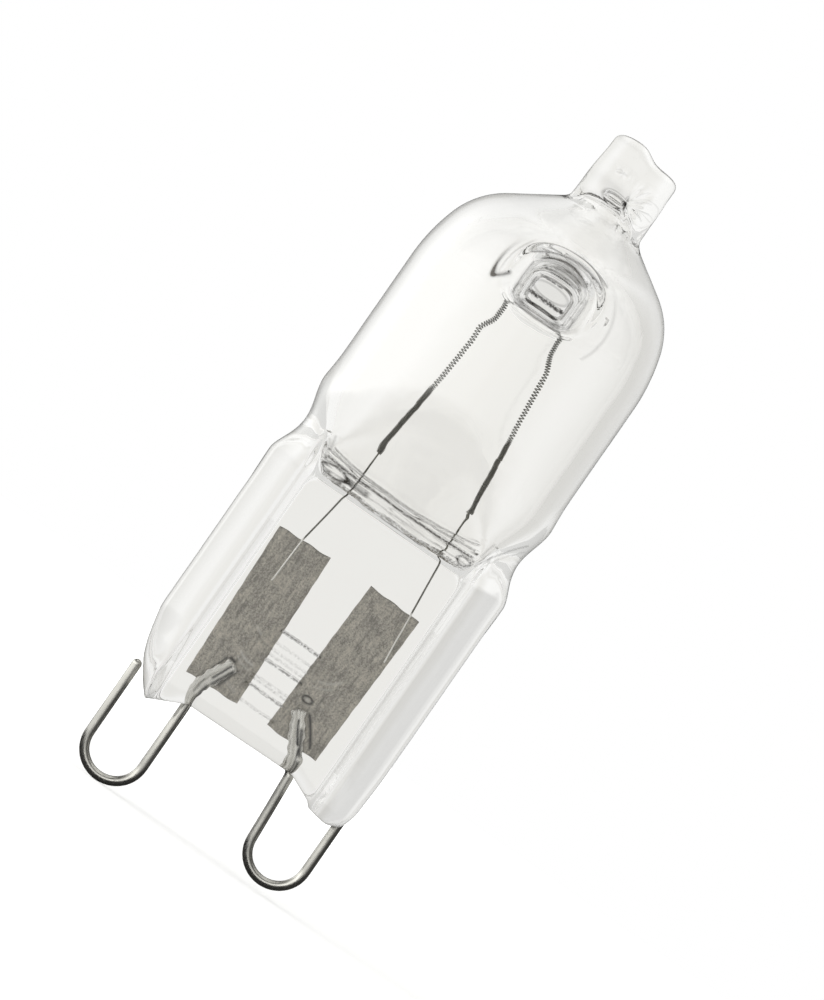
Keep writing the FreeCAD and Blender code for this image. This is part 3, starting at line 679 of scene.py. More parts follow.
class Field:
    """A value that shader nodes work out at each place. Arithmetic on it adds math nodes."""

    def __init__(self, tree, socket):
        self.tree, self.socket = tree, socket

    def step(self, operation, *others):
        """One math node that starts from this value."""
        inputs = dict(enumerate((self, *others)))
        node = add_node(self.tree, "ShaderNodeMath", inputs, operation=operation)
        return Field(self.tree, node.outputs[0])

    def __add__(self, other):
        return self.step("ADD", other)

    def __sub__(self, other):
        return self.step("SUBTRACT", other)

    def __mul__(self, other):
        return self.step("MULTIPLY", other)

    def __truediv__(self, other):
        return self.step("DIVIDE", other)

    def __gt__(self, limit):
        return self.step("GREATER_THAN", limit)

    def __lt__(self, limit):
        return self.step("LESS_THAN", limit)

    def __abs__(self):
        return self.step("ABSOLUTE")

    def plus(self, other, share):
        """This value and a share of another."""
        return other.step("MULTIPLY_ADD", share, self)

    def near(self, middle, reach):
        """One within a reach of the middle, and nothing outside it."""
        return self.step("COMPARE", middle, reach)

    def curve(self, low, high, start=0.0, end=1.0):
        """A smooth step from start at low to end at high."""
        inputs = {"Value": self, "From Min": low, "From Max": high, "To Min": start, "To Max": end}
        node = add_node(self.tree, "ShaderNodeMapRange", inputs, interpolation_type="SMOOTHSTEP")
        return Field(self.tree, node.outputs["Result"])


def plug(tree, socket, value):
    """Set a node's input to a value, or link it to what another node gives."""
    if isinstance(value, Field):
        value = value.socket
    if isinstance(value, bpy.types.NodeSocket):
        tree.links.new(value, socket)
    else:
        socket.default_value = value


def add_node(tree, kind, inputs=None, **settings):
    """A shader node with its settings and its inputs."""
    node = tree.nodes.new(kind)
    for name, value in settings.items():
        setattr(node, name, value)
    for name, value in (inputs or {}).items():
        plug(tree, node.inputs[name], value)
    return node


def new_material(name):
    """An empty node material and its node tree."""
    material = bpy.data.materials.new(name)
    material.use_nodes = True
    material.node_tree.nodes.clear()
    return material, material.node_tree


def show_shader(tree, shader):
    """Put a finished shader on the material's surface."""
    add_node(tree, "ShaderNodeOutputMaterial", {"Surface": shader.outputs[0]})


def colour_mix(tree, factor, first, second):
    """A colour between two, by a factor."""
    node = add_node(tree, "ShaderNodeMix", {"Factor": factor}, data_type="RGBA")
    for socket, colour in ((node.inputs[6], first), (node.inputs[7], second)):
        plug(tree, socket, colour if isinstance(colour, bpy.types.NodeSocket) else (*colour, 1.0))
    return node.outputs[2]


def bump(tree, height, strength, distance, **normal):
    """A surface direction tilted by a height."""
    inputs = {"Height": height, "Strength": strength, "Distance": distance, **normal}
    return add_node(tree, "ShaderNodeBump", inputs).outputs["Normal"]


def object_place(tree):
    """The place on the object in metres."""
    return add_node(tree, "ShaderNodeTexCoord").outputs["Object"]


def parts(tree, vector):
    """A vector's three parts."""
    outputs = add_node(tree, "ShaderNodeSeparateXYZ", {0: vector}).outputs
    return [Field(tree, outputs[name]) for name in "XYZ"]


def millimetres(tree):
    """The place on the object in millimetres, as a vector and as its three parts."""
    inputs = {0: object_place(tree), 1: (1.0 / MM,) * 3}
    vector = add_node(tree, "ShaderNodeVectorMath", inputs, operation="MULTIPLY").outputs[0]
    return vector, *parts(tree, vector)


def light_path(tree, *names):
    """What is known of a ray's way so far, by the names of the node's outputs."""
    outputs = add_node(tree, "ShaderNodeLightPath").outputs
    return [Field(tree, outputs[name]) for name in names]


def noise(tree, vector, scale, detail=3.0, roughness=0.5):
    """A noise with about as many cells to the vector's unit as its scale."""
    inputs = {"Vector": vector, "Scale": scale, "Detail": detail, "Roughness": roughness}
    return Field(tree, add_node(tree, "ShaderNodeTexNoise", inputs).outputs["Fac"])


def bell(offset, width):
    """A bell curve: one where the offset is nothing, and about a third where it is the width."""
    share = offset / width
    return (share * share * -1.0).step("EXPONENT")


def stroke(x, z, start, end, width, bow=0.0):
    """A soft line on the lamp's front from one point to another, its middle moved sideways
    by bow, fading at both ends."""
    run = math.dist(start, end)
    ahead_x, ahead_z = (end[0] - start[0]) / run, (end[1] - start[1]) / run
    from_x = x - (start[0] + end[0]) / 2
    from_z = z - (start[1] + end[1]) / 2
    along = (from_z * ahead_z).plus(from_x, ahead_x)
    across = (from_z * ahead_x).plus(from_x, -ahead_z)
    if bow:
        across = across + (along * along * (4.0 * bow / run**2) - bow)
    return bell(across, width) * abs(along).curve(run / 2, run / 2 - 2.0 * width)


def oval(x, z, centre, half):
    """Distance from an oval's centre as a share of the way to its edge."""
    across = (x - centre[0]) / half[0]
    up = (z - centre[1]) / half[1]
    return (up * up).plus(across, across).step("SQRT")


def ring(x, z, centre, half, width):
    """A soft oval outline."""
    return bell(oval(x, z, centre, half) - 1.0, width / min(half))


def spot(x, z, centre, half):
    """A soft filled oval."""
    return bell(oval(x, z, centre, half), 1.0)


def strokes(x, z, lines):
    """The sum of strokes, each given as start, end, width, bow and strength."""
    total = 0.0
    for start, end, width, bow, strength in lines:
        total = stroke(x, z, start, end, width, bow).step("MULTIPLY_ADD", strength, total)
    return total


def with_rings(total, x, z, ovals):
    """A sum with rings added to it, each given as centre, half sizes, width and strength."""
    for centre, half, width, strength in ovals:
        total = total.plus(ring(x, z, centre, half, width), strength)
    return total


def box_mask(x, z, middle, half):
    """One inside an upright rectangle on the lamp's front and nothing outside it."""
    return x.near(middle[0], half[0]) * z.near(middle[1], half[1])


# Folds of the worked glass, as strokes and rings of painted shade
POST_FOLDS = (
    ((-1.86, 27.24), (2.0, 27.7), 0.06, 0.62, 0.8),
    ((-1.33, 27.24), (1.42, 27.24), 0.1, 0.59, 1.0),
    ((-0.65, 27.45), (1.25, 27.33), 0.13, 0.17, 1.0),
    ((-0.9, 27.17), (0.98, 27.17), 0.08, 0.03, 0.7),
    ((-1.2, 24.95), (1.55, 24.95), 0.07, -0.06, 1.0),
    ((-1.42, 25.2), (-1.42, 27.1), 0.06, 0.05, 0.8),
    ((1.62, 25.2), (1.62, 27.0), 0.06, -0.05, 0.8),
)
POST_RINGS = (((0.1, 25.27), (1.0, 0.22), 0.05, 0.7), ((0.03, 26.37), (0.98, 0.34), 0.04, 0.3))
POST_GRAINS = (((-0.95, 26.83), (0.4, 26.85), 0.04, 0.0, 0.8), ((-1.03, 25.9), (1.15, 25.9), 0.09, 0.0, 1.3))
TROUGH_FOLDS = (
    ((-4.1, 14.64), (4.0, 14.74), 0.05, -0.36, 0.75),
    ((-4.1, 14.47), (4.0, 14.47), 0.04, -0.22, 0.6),
    ((-4.2, 14.16), (4.15, 14.1), 0.075, -0.12, 1.1),
    ((-4.2, 13.66), (4.1, 13.66), 0.045, 0.0, 0.45),
    ((-3.0, 13.75), (-1.4, 13.7), 0.13, 0.0, 0.55),
)
TROUGH_RINGS = (((-3.5, 13.72), (0.75, 0.24), 0.06, 1.0), ((3.85, 13.72), (0.35, 0.2), 0.05, 0.9))
TROUGH_GRAINS = (((-4.15, 13.33), (4.1, 13.4), 0.06, -0.06, 1.0),)
NECK_FOLDS = (
    ((-4.42, 15.25), (-4.22, 14.3), 0.09, 0.05, 0.45),
    ((-4.75, 15.0), (-4.35, 14.2), 0.05, 0.0, 0.3),
    ((4.4, 14.3), (4.62, 15.3), 0.06, 0.04, 0.4),
    ((4.35, 13.75), (5.95, 16.1), 0.05, 0.12, 0.5),
    ((4.5, 13.6), (5.95, 15.75), 0.04, 0.12, 0.25),
)
TIP_FOLDS = (
    ((0.5, 32.15), (0.8, 31.2), 0.06, -0.12, 0.6),
    ((0.75, 32.2), (1.15, 32.8), 0.035, 0.05, 0.2),
    ((0.9, 32.05), (1.6, 32.4), 0.035, 0.06, 0.25),
    ((1.0, 31.8), (1.75, 31.95), 0.035, 0.0, 0.25),
    ((1.0, 31.65), (1.65, 31.45), 0.04, 0.05, 0.3),
    ((0.95, 31.5), (1.4, 31.1), 0.04, 0.0, 0.3),
    ((-0.75, 32.7), (-0.1, 32.85), 0.05, 0.05, 0.25),
)
TIP_RINGS = (((-0.02, 31.55), (0.6, 0.27), 0.05, 0.5),)

# Lines that the press's jaws left between the foils, painted as shade lines, as height and strength
STRONG_PRESS_LINES = ((6.26, 1.1), (4.73, 1.0), (3.36, 1.0))
FAINT_PRESS_LINES = ((5.65, 0.3), (5.28, 0.3), (5.02, 0.3), (3.86, 0.35), (3.7, 0.35), (2.53, 0.4))
PRESS_LINE_WIDTH = 0.055


def seal_painted_shade(x, y, z):
    """How much darker the pressed seal is painted than the blown bulb, as painted shade: a little
    in the web and the left rail, more in the right rail, and some in the post's thin floor."""
    web_shade, rail_shade, floor_shade = 0.06, 0.2, 0.14
    rail = x.curve(4.95, 5.15) * x.curve(6.25, 6.05)
    seal = rail.step("MULTIPLY_ADD", rail_shade, web_shade) * z.curve(13.3, 13.1)
    floor = box_mask(x, z, (POST_X, 26.2), (1.42, 1.1)) * y.near(0.0, 0.5)
    return seal.plus(floor, floor_shade)


def mouth_marks(x, y, z, z_wander):
    """Painted shade lines that mark the dimple's mouth on the front skin: a hooked line and a faint
    inner lip on its left, and a faint outer lip on its right."""
    centre, skin_radius = (0.1, 26.1), 5.42
    line = ring(x, z_wander, centre, (2.9, 3.04), 0.09) * (z.curve(27.9, 25.7) * z.curve(25.2, 25.5))
    line = line * x.curve(-1.6, -2.6)
    hook = stroke(x, z, (-2.78, 25.3), (-1.95, 26.1), 0.11, -0.08)
    hook = hook.plus(spot(x, z, (-2.66, 25.55), (0.13, 0.28)), 0.6)
    inner_lip = ring(x, z_wander, centre, (2.62, 2.75), 0.05) * x.curve(-1.5, -2.2)
    outer_lip = ring(x, z_wander, (0.0, 25.9), (3.3, 3.0), 0.08) * x.curve(2.4, 3.1)
    marks = line.plus(inner_lip, z.curve(25.5, 26.2) * 0.35).plus(hook, 0.9).plus(outer_lip, 0.3)
    return marks * (((y * y).plus(x, x) > skin_radius**2) * (y < 0.0))


def trough_marks(x, y, z, z_wander, broken):
    """Smiling lines and rings of painted shade on the trough's inner walls, broken up here and there."""
    inner_slope, inner_reach, lowering = 1.05, 0.5, 0.33
    sunk = z_wander - lowering
    marks = with_rings(strokes(x, sunk, TROUGH_FOLDS), x, sunk, TROUGH_RINGS) * broken.curve(-0.8, 0.8)
    marks = marks.plus(strokes(x, sunk, TROUGH_GRAINS), broken)
    wall = z.step("MULTIPLY_ADD", inner_slope, inner_reach - inner_slope * CHEEK_FOOT)
    return marks * (abs(y) < wall)


def press_marks(z_wander, broken):
    """The jaws' level lines as painted shade, broken up here and there."""
    marks = 0.0
    for height, strength in STRONG_PRESS_LINES + FAINT_PRESS_LINES:
        marks = bell(z_wander - height, PRESS_LINE_WIDTH).step("MULTIPLY_ADD", strength, marks)
    return marks * broken * 0.9


def fold_shade_marks(tree, vector, x, y, z):
    """Painted shade where worked glass turns light aside and looks dark: folds round the post, smiling
    lines in the trough, the jaws' lines between the foils, creases and a grey patch in the
    tip, and creases at the neck. Gives the darkness, and the regions that hold any."""
    z_wander = z.plus(noise(tree, vector, 1.3) - 0.5, 0.12)
    broken = noise(tree, vector, 9.0).curve(0.36, 0.56)
    post = with_rings(strokes(x, z_wander, POST_FOLDS), x, z, POST_RINGS)
    post = (post + mouth_marks(x, y, z, z_wander)).plus(strokes(x, z, POST_GRAINS), broken)
    tip = with_rings(strokes(x, z, TIP_FOLDS), x, z, TIP_RINGS)
    tip = tip.plus(spot(x, z, (-0.25, 32.05), (0.75, 0.3)), 0.16)
    regions = (
        (post, (0.1, 26.7), (3.6, 2.2)),
        (trough_marks(x, y, z, z_wander, broken), (0.0, 14.4), (4.6, 1.4)),
        (press_marks(z_wander, broken), (-0.17, 4.35), (1.15, 2.2)),
        (tip, (0.0, 32.0), (2.2, 1.1)),
        (strokes(x, z, NECK_FOLDS) * (y < 0.0), (0.0, 15.3), (6.2, 1.6)),
    )
    total, worked = 0.0, 0.0
    for marks, middle, half in regions:
        mask = box_mask(x, z, middle, half)
        total = marks.step("MULTIPLY_ADD", mask, total)
        worked = mask.step("MAXIMUM", worked)
    return total.step("MINIMUM", 1.0), worked


def quartz_material(settings):
    """Clear fire-polished quartz: faint unevenness everywhere, painted shade at glancing edges,
    and painted shade on the folds of the worked regions and over the pressed seal. Where light
    stays trapped between the walls for many turns, the glass glows pale: painted light."""
    quartz_ior, glossy_turns, turns, trapped_painted_glow, post_clearing = 1.458, 4.5, 12.5, 0.74, 0.8
    material, tree = new_material("quartz_glass")
    vector, x, y, z = millimetres(tree)
    soft = bump(tree, noise(tree, object_place(tree), 420.0), 0.06, 0.0002)
    facing = Field(tree, add_node(tree, "ShaderNodeLayerWeight", {"Blend": 0.5}).outputs["Facing"])
    post = box_mask(x, z, (POST_X, POST_HEIGHT), (1.8, 1.7))
    # Painted shade: the tint darkens towards the edge colour at glancing angles, a dark outline round every
    # edge, mostly cleared about the post.
    glancing = facing.curve(0.82, 1.0) * post.step("MULTIPLY_ADD", -post_clearing, 1.0)
    colour = colour_mix(tree, glancing, settings.clear_colour, settings.edge_shade_colour)
    # Painted shade: the pressed seal and the post's floor are darkened towards the fold colour.
    colour = colour_mix(tree, seal_painted_shade(x, y, z), colour, settings.fold_shade_colour)
    # Painted light: the glass glows pale wherever a ray has made many glossy turns or many bounces, instead
    # of going dark there.
    glossy_depth, ray_depth = light_path(tree, "Glossy Depth", "Ray Depth")
    trapped = (glossy_depth > glossy_turns).step("MAXIMUM", ray_depth > turns)
    sockets = {"Base Color": colour, "Roughness": 0.0, "IOR": quartz_ior, "Normal": soft}
    sockets.update({"Transmission Weight": 1.0, "Emission Color": (1.0, 1.0, 0.98, 1.0)})
    sockets["Emission Strength"] = trapped * trapped_painted_glow
    plain = add_node(tree, "ShaderNodeBsdfPrincipled", sockets)
    # Painted shade: the fold marks darken the colour towards the fold colour, and tilt the surface a little.
    marks, worked = fold_shade_marks(tree, vector, x, y, z)
    sockets["Normal"] = bump(tree, marks, 0.5, 0.00003, Normal=soft)
    sockets["Base Color"] = colour_mix(tree, marks, colour, settings.fold_shade_colour)
    marked = add_node(tree, "ShaderNodeBsdfPrincipled", sockets)
    shaders = {0: worked, 1: plain.outputs[0], 2: marked.outputs[0]}
    show_shader(tree, add_node(tree, "ShaderNodeMixShader", shaders))
    material.cycles.emission_sampling = "NONE"
    return material


# Painted shadows and painted highlights on the foils by the welds, as strokes, and a bright spot with a dark
# ring round it
FOIL_SHADOWS = (
    ((-3.15, 2.4), (-2.62, 3.85), 0.05, 0.0, 0.8),
    ((-2.64, 3.88), (-2.1, 3.74), 0.08, 0.0, 0.95),
    ((-1.82, 3.62), (-2.3, 2.35), 0.06, 0.0, 0.7),
    ((1.95, 3.85), (3.0, 2.35), 0.08, 0.05, 0.95),
    ((1.3, 3.6), (2.3, 2.35), 0.05, 0.0, 0.6),
    ((-2.2, 5.6), (-1.3, 5.25), 0.06, -0.1, 0.35),
)
FOIL_PAINTED_HIGHLIGHTS = (
    ((-2.4, 4.45), (-1.35, 4.15), 0.07, -0.12, 0.6),
    ((-2.35, 4.15), (-1.4, 3.85), 0.05, -0.1, 0.45),
    ((-2.4, 5.8), (-1.9, 5.5), 0.06, 0.0, 0.5),
    ((1.35, 5.25), (2.5, 5.95), 0.07, -0.15, 0.45),
    ((1.3, 4.95), (2.3, 5.4), 0.05, -0.12, 0.35),
    ((-2.55, 2.95), (-1.3, 2.6), 0.1, 0.0, 0.3),
)
FOIL_SPOT = (1.55, 4.27)
FOIL_SHADOW_COLOUR = (0.03, 0.028, 0.024)


def foil_material(settings):
    """Molybdenum foil: satin grey-brown metal with a fine grain, slanted rolled streaks,
    cloudy patches from the heat of sealing, and painted highlights and painted shadows by the welds."""
    material, tree = new_material("molybdenum_foil")
    vector, x, _, z = millimetres(tree)
    inputs = {"Vector": vector, "Scale": (5.0, 5.0, 0.9), "Rotation": (0.0, 0.4, 0.0)}
    slanted = add_node(tree, "ShaderNodeMapping", inputs).outputs[0]
    streak = noise(tree, slanted, 1.0, 5.0, 0.65)
    grain = noise(tree, vector, 13.0, 3.0, 0.7)
    cloud = noise(tree, vector, 0.8, 4.0, 0.6)
    tone = (cloud * 0.3).plus(streak, 0.3).plus(grain, 0.4)
    dark = tuple(0.5 * channel for channel in settings.foil_colour)
    light = tuple(min(1.0, 1.6 * channel) for channel in settings.foil_colour)
    base = colour_mix(tree, tone.curve(0.39, 0.62), dark, light)
    # Painted highlights in the pins' colour, and painted shadows in near-black, by the welds.
    painted_highlights = strokes(x, z, FOIL_PAINTED_HIGHLIGHTS).plus(spot(x, z, FOIL_SPOT, (0.16, 0.08)), 0.8)
    shadows = strokes(x, z, FOIL_SHADOWS).plus(ring(x, z, FOIL_SPOT, (0.25, 0.16), 0.05), 0.9)
    base = colour_mix(tree, painted_highlights, base, settings.pin_colour)
    base = colour_mix(tree, shadows, base, FOIL_SHADOW_COLOUR)
    sockets = {"Base Color": base, "Metallic": 0.75, "Roughness": cloud.curve(0.3, 0.7, 0.42, 0.6)}
    sockets["Normal"] = bump(tree, tone, 0.5, 0.00003)
    show_shader(tree, add_node(tree, "ShaderNodeBsdfPrincipled", sockets))
    return material


# Painted shade in the splits and down the dark sides of the pins' flattened tails, as strokes
PIN_SLIT_SHADES = (
    ((-2.72, 2.5), (-2.2, 3.62), 0.06, 0.0, 0.95),
    ((-3.06, 1.5), (-2.95, 2.4), 0.05, 0.0, 0.5),
    ((-2.78, 0.95), (-2.62, 2.3), 0.1, 0.05, 0.85),
    ((-2.62, 2.2), (-1.95, 3.5), 0.1, 0.0, 0.8),
    ((3.05, 0.9), (2.8, 1.75), 0.09, 0.0, 0.8),
    ((2.8, 1.75), (2.05, 3.1), 0.1, 0.0, 0.85),
    ((2.42, 2.2), (1.72, 3.35), 0.06, 0.04, 0.95),
    ((2.82, 1.2), (2.5, 2.2), 0.05, 0.0, 0.6),
)
SLIT_SHADE_COLOUR = (0.02, 0.02, 0.018)
# Painted highlight: the pale colour of a lead where it lies on its foil in the seal
SEALED_LEAD_SHINE_COLOUR = (0.95, 0.94, 0.9)


def wire_material(name, colour, roughness, along, slit_shades=(), sealed=None):
    """Drawn metal wire: fine marks along the wire, slight heat tint and uneven gloss, painted shade
    in the splits and along dark sides, and a painted highlight: a paler colour where it lies in the seal."""
    material, tree = new_material(name)
    vector, x, _, z = millimetres(tree)
    stretched = add_node(tree, "ShaderNodeMapping", {"Vector": vector, "Scale": (9.0, 9.0, along)})
    mark = noise(tree, stretched.outputs[0], 1.0, 4.0)
    worn = tuple(0.8 * channel for channel in colour)
    base = colour_mix(tree, noise(tree, vector, 0.5).curve(0.35, 0.7), colour, worn)
    # Painted highlight: the lead turns pale below the seal's top, for the light it catches on the foil.
    if sealed:
        base = colour_mix(tree, z.curve(10.5, 10.2), base, sealed)
    # Painted shade: near-black strokes in the tails' splits and down their dark sides.
    if slit_shades:
        base = colour_mix(tree, strokes(x, z, slit_shades), base, SLIT_SHADE_COLOUR)
    rough = mark.curve(0.3, 0.7, roughness * 0.8, roughness * 1.25)
    sockets = {"Base Color": base, "Metallic": 1.0, "Roughness": rough}
    sockets["Normal"] = bump(tree, mark, 0.06, 0.00001)
    show_shader(tree, add_node(tree, "ShaderNodeBsdfPrincipled", sockets))
    return material


def colour_setting(name, description, default):
    """A colour that a user may change."""
    kind = {"subtype": "COLOR", "size": 3}
    return bpy.props.FloatVectorProperty(name=name, description=description, default=default, **kind)


def length_setting(name, description, default):
    """A length that a user may change, its default given in millimetres."""
    kind = {"unit": "LENGTH", "precision": 6}
    return bpy.props.FloatProperty(name=name, description=description, default=default * MM, **kind)


def power_setting(name, description, default):
    """A lamp's power that a user may change."""
    return bpy.props.FloatProperty(name=name, description=description, default=default, unit="POWER")


class CapsuleGlass(bpy.types.PropertyGroup):
    """What a user may change on the glass envelope."""

    clear_colour: colour_setting("Clear colour", "Tint of the glass seen square on", (0.995, 0.993, 0.985))
    # Painted shade: the tint that glancing edges darken to, drawing dark outlines.
    edge_shade_colour: colour_setting("Edge colour", "Tint of the glass at a glancing angle", (0.72, 0.71, 0.7))
    # Painted shade: the near-black colour towards which folds, the pressed seal and the post's floor are
    # darkened.
    fold_shade_colour: colour_setting("Fold colour", "Colour of the folds in worked glass", (0.012, 0.01, 0.008))


class CapsuleMetal(bpy.types.PropertyGroup):
    """What a user may change on the filament, leads, foils and pins."""

    wire_radius: length_setting("Filament wire radius", "Radius of the wire in the coil", 0.026)
    dense_pitch: length_setting("Close pitch", "Distance between turns on the filament's feet", 0.064)
    open_pitch: length_setting("Open pitch", "Distance between turns of the open coil", 0.155)
    foil_crumple: length_setting("Foil crumple", "Height of the waves in the foils", 0.02)
    foil_colour: colour_setting("Foil colour", "Colour of the sealing foils", (0.385, 0.362, 0.315))
    pin_colour: colour_setting("Pin colour", "Colour of the pins", (0.62, 0.61, 0.57))
    coil_colour: colour_setting("Filament colour", "Colour of the filament and leads", (0.16, 0.155, 0.13))


class CapsuleStage(bpy.types.PropertyGroup):
    """What a user may change on the camera and the light."""

    lean: bpy.props.FloatProperty(
        name="Lean",
        description="Lean of the lamp in the picture",
        default=math.radians(34.8),
        subtype="ANGLE",
    )
    frame_height: length_setting("Frame height", "Height that the picture takes in", 46.73)
    lens: bpy.props.FloatProperty(name="Lens", description="Focal length in millimetres", default=400.0)
    key_power: power_setting("Key power", "Power of the left soft box", 2.2)
    fill_power: power_setting("Fill power", "Power of the right soft box", 0.5)


class CAPSULE_OT_glass(bpy.types.Operator):
    """Make the quartz envelope with its dimples, hollow and sealed tip"""

    bl_idname = "capsule.glass"
    bl_label = "Glass envelope"

    def execute(self, context):
        material = quartz_material(context.scene.capsule_glass)
        make_piece("quartz_envelope", build_glass(), material, "glass_envelope")
        return {"FINISHED"}


class CAPSULE_OT_filament(bpy.types.Operator):
    """Wind the filament and hang it over the post"""

    bl_idname = "capsule.filament"
    bl_label = "Filament"

    def execute(self, context):
        settings = context.scene.capsule_metal
        material = wire_material("tungsten_coil", settings.coil_colour, roughness=0.5, along=9.0)
        make_piece("coiled_filament", build_filament(settings), material, "filament")
        return {"FINISHED"}


class CAPSULE_OT_leads(bpy.types.Operator):
    """Draw the two thin leads from the foils to the filament"""

    bl_idname = "capsule.leads"
    bl_label = "Leads"

    def execute(self, context):
        colour = context.scene.capsule_metal.coil_colour
        material = wire_material("lead_wire", colour, roughness=0.45, along=0.9, sealed=SEALED_LEAD_SHINE_COLOUR)
        left = [(-3.0, 7.92), (-2.96, 9.0), (-2.90, 10.26), (-2.62, 12.0), (-2.40, 13.40)]
        left += [(-2.33, 14.2), (-2.31, 14.67), (-2.29, 16.0)]
        right = [(3.49, 7.77), (3.4, 8.6), (3.25, 10.29), (2.94, 13.39), (2.69, 13.66)]
        right += [(2.84, 14.12), (2.80, 15.75), (2.68, 15.92), (2.70, 16.1)]
        for side, points in (("left", left), ("right", right)):
            node = "lead_" + side
            make_piece("lead_wire_" + side, build_lead(points, node), material, node)
        return {"FINISHED"}


class CAPSULE_OT_foils(bpy.types.Operator):
    """Roll and crumple the two sealing foils"""

    bl_idname = "capsule.foils"
    bl_label = "Sealing foils"

    def execute(self, context):
        settings = context.scene.capsule_metal
        material = foil_material(settings)
        for side, phase in (("left", 0.3), ("right", 2.1)):
            node = "foil_" + side
            foil = build_foil(node, phase, settings)
            make_piece("seal_foil_" + side, foil, material, node)
        return {"FINISHED"}


class CAPSULE_OT_pins(bpy.types.Operator):
    """Bend the two looped pins and flatten their sealed tails"""

    bl_idname = "capsule.pins"
    bl_label = "Looped pins"

    def execute(self, context):
        colour = context.scene.capsule_metal.pin_colour
        material = wire_material("pin_wire", colour, roughness=0.27, along=0.6, slit_shades=PIN_SLIT_SHADES)
        left_tail = [(-2.97, 0.8), (-3.05, 1.4), (-2.98, 2.03), (-2.6, 2.84), (-2.25, 3.55)]
        right_tail = [(3.01, -1.0), (2.87, 0.9), (2.62, 1.64), (2.30, 2.22), (1.96, 2.83), (1.55, 3.55)]
        left = pin_route(outer_x=-5.96, inner_x=-2.97, end=1.1, bottom=-4.22, tail=left_tail)
        right = pin_route(outer_x=6.06, inner_x=3.1, end=0.45, bottom=-3.9, tail=right_tail)
        for side, route, flat_from in (("left", left, 1.2), ("right", right, 0.8)):
            pin = build_pin(route, flat_from)
            make_piece("looped_pin_" + side, pin, material, "pin_" + side)
        return {"FINISHED"}


def soft_box(name, azimuth, elevation, distance, width, height, power):
    """A large soft lamp that faces the bulb's middle. It lights the floor and matt surfaces;
    the camera, mirrors and glass don't show it."""
    target = Vector((0.0, 0.0, 0.015))
    heading, rise = math.radians(azimuth), math.radians(elevation)
    way = Vector((math.sin(heading) * math.cos(rise), -math.cos(heading) * math.cos(rise), math.sin(rise)))
    data = bpy.data.lights.new(name, "AREA")
    data.shape = "RECTANGLE"
    data.size, data.size_y = width, height
    data.energy = power
    lamp = bpy.data.objects.new(name, data)
    lamp.location = target + way * distance
    lamp.rotation_euler = way.to_track_quat("Z", "Y").to_euler()
    lamp.visible_camera = False
    lamp.visible_transmission = False
    lamp.visible_glossy = False
    bpy.context.scene.collection.objects.link(lamp)


KEY_BRIGHTNESS = 2.2


def key_lobe(x, y):
    """How much of the wide soft key light lies in a direction: all of it to the front and the
    left, fading to the right and to the back."""
    return y.curve(0.95, 0.4) * x.curve(0.85, -0.55)


def studio_world():
    """White to the camera. Light that leaves the glass sees a pale room, whiter on the left
    than on the right, a little greyer straight ahead and overhead. First reflections see a
    dim room with the key light round the front and left, and a fainter one overhead."""
    left, right = (0.98, 0.98, 0.97), (0.74, 0.735, 0.71)
    ahead, overhead = (0.865, 0.86, 0.835), (0.8, 0.795, 0.775)
    dim, bright = (0.11, 0.11, 0.105), (KEY_BRIGHTNESS, KEY_BRIGHTNESS, 2.16)
    world = bpy.data.worlds.new("studio")
    world.use_nodes = True
    tree = world.node_tree
    tree.nodes.clear()
    x, y, z = parts(tree, add_node(tree, "ShaderNodeTexCoord").outputs["Generated"])
    is_camera, is_transmission = light_path(tree, "Is Camera Ray", "Is Transmission Ray")
    room = colour_mix(tree, x.curve(-0.1, 0.7), left, right)
    room = colour_mix(tree, abs(x).curve(0.13, 0.0), room, ahead)
    through = colour_mix(tree, z.curve(0.5, 0.95), room, overhead)
    key = (key_lobe(x, y) * abs(z).curve(0.7, 0.15)).plus(z.curve(0.75, 0.95), 0.7)
    reflected = colour_mix(tree, key, dim, bright)
    seen = colour_mix(tree, is_transmission, reflected, through)
    shown = colour_mix(tree, is_camera, seen, (1.0, 1.0, 1.0))
    background = add_node(tree, "ShaderNodeBackground", {"Color": shown, "Strength": 1.0})
    add_node(tree, "ShaderNodeOutputWorld", {"Surface": background.outputs[0]})
    bpy.context.scene.world = world


def floor_material():
    """A plain pale floor that keeps the lamp's shadow: matt grey with a glow that makes it
    white to the camera, more so away from the lamp. In reflections it carries the key light
    on below the horizon."""
    near_glow, far_glow, matt, matt_in_reflections = 0.52, 0.5, (0.55,) * 3, (0.05,) * 3
    material, tree = new_material("pale_floor")
    is_camera, is_glossy = light_path(tree, "Is Camera Ray", "Is Glossy Ray")
    place = object_place(tree)
    length = add_node(tree, "ShaderNodeVectorMath", {0: place}, operation="LENGTH")
    heading = add_node(tree, "ShaderNodeVectorMath", {0: place}, operation="NORMALIZE")
    far = Field(tree, length.outputs["Value"]).curve(0.03, 0.16)
    x, y, _ = parts(tree, heading.outputs[0])
    shine = key_lobe(x, y) * far * KEY_BRIGHTNESS
    seen = (is_camera * far.step("MULTIPLY_ADD", far_glow, near_glow)).plus(is_glossy, shine)
    glow = add_node(tree, "ShaderNodeEmission", {"Color": (1.0, 1.0, 0.99, 1.0), "Strength": seen})
    grey = colour_mix(tree, is_glossy, matt, matt_in_reflections)
    grey = add_node(tree, "ShaderNodeBsdfDiffuse", {"Color": grey})
    show_shader(tree, add_node(tree, "ShaderNodeAddShader", {0: glow.outputs[0], 1: grey.outputs[0]}))
    return material


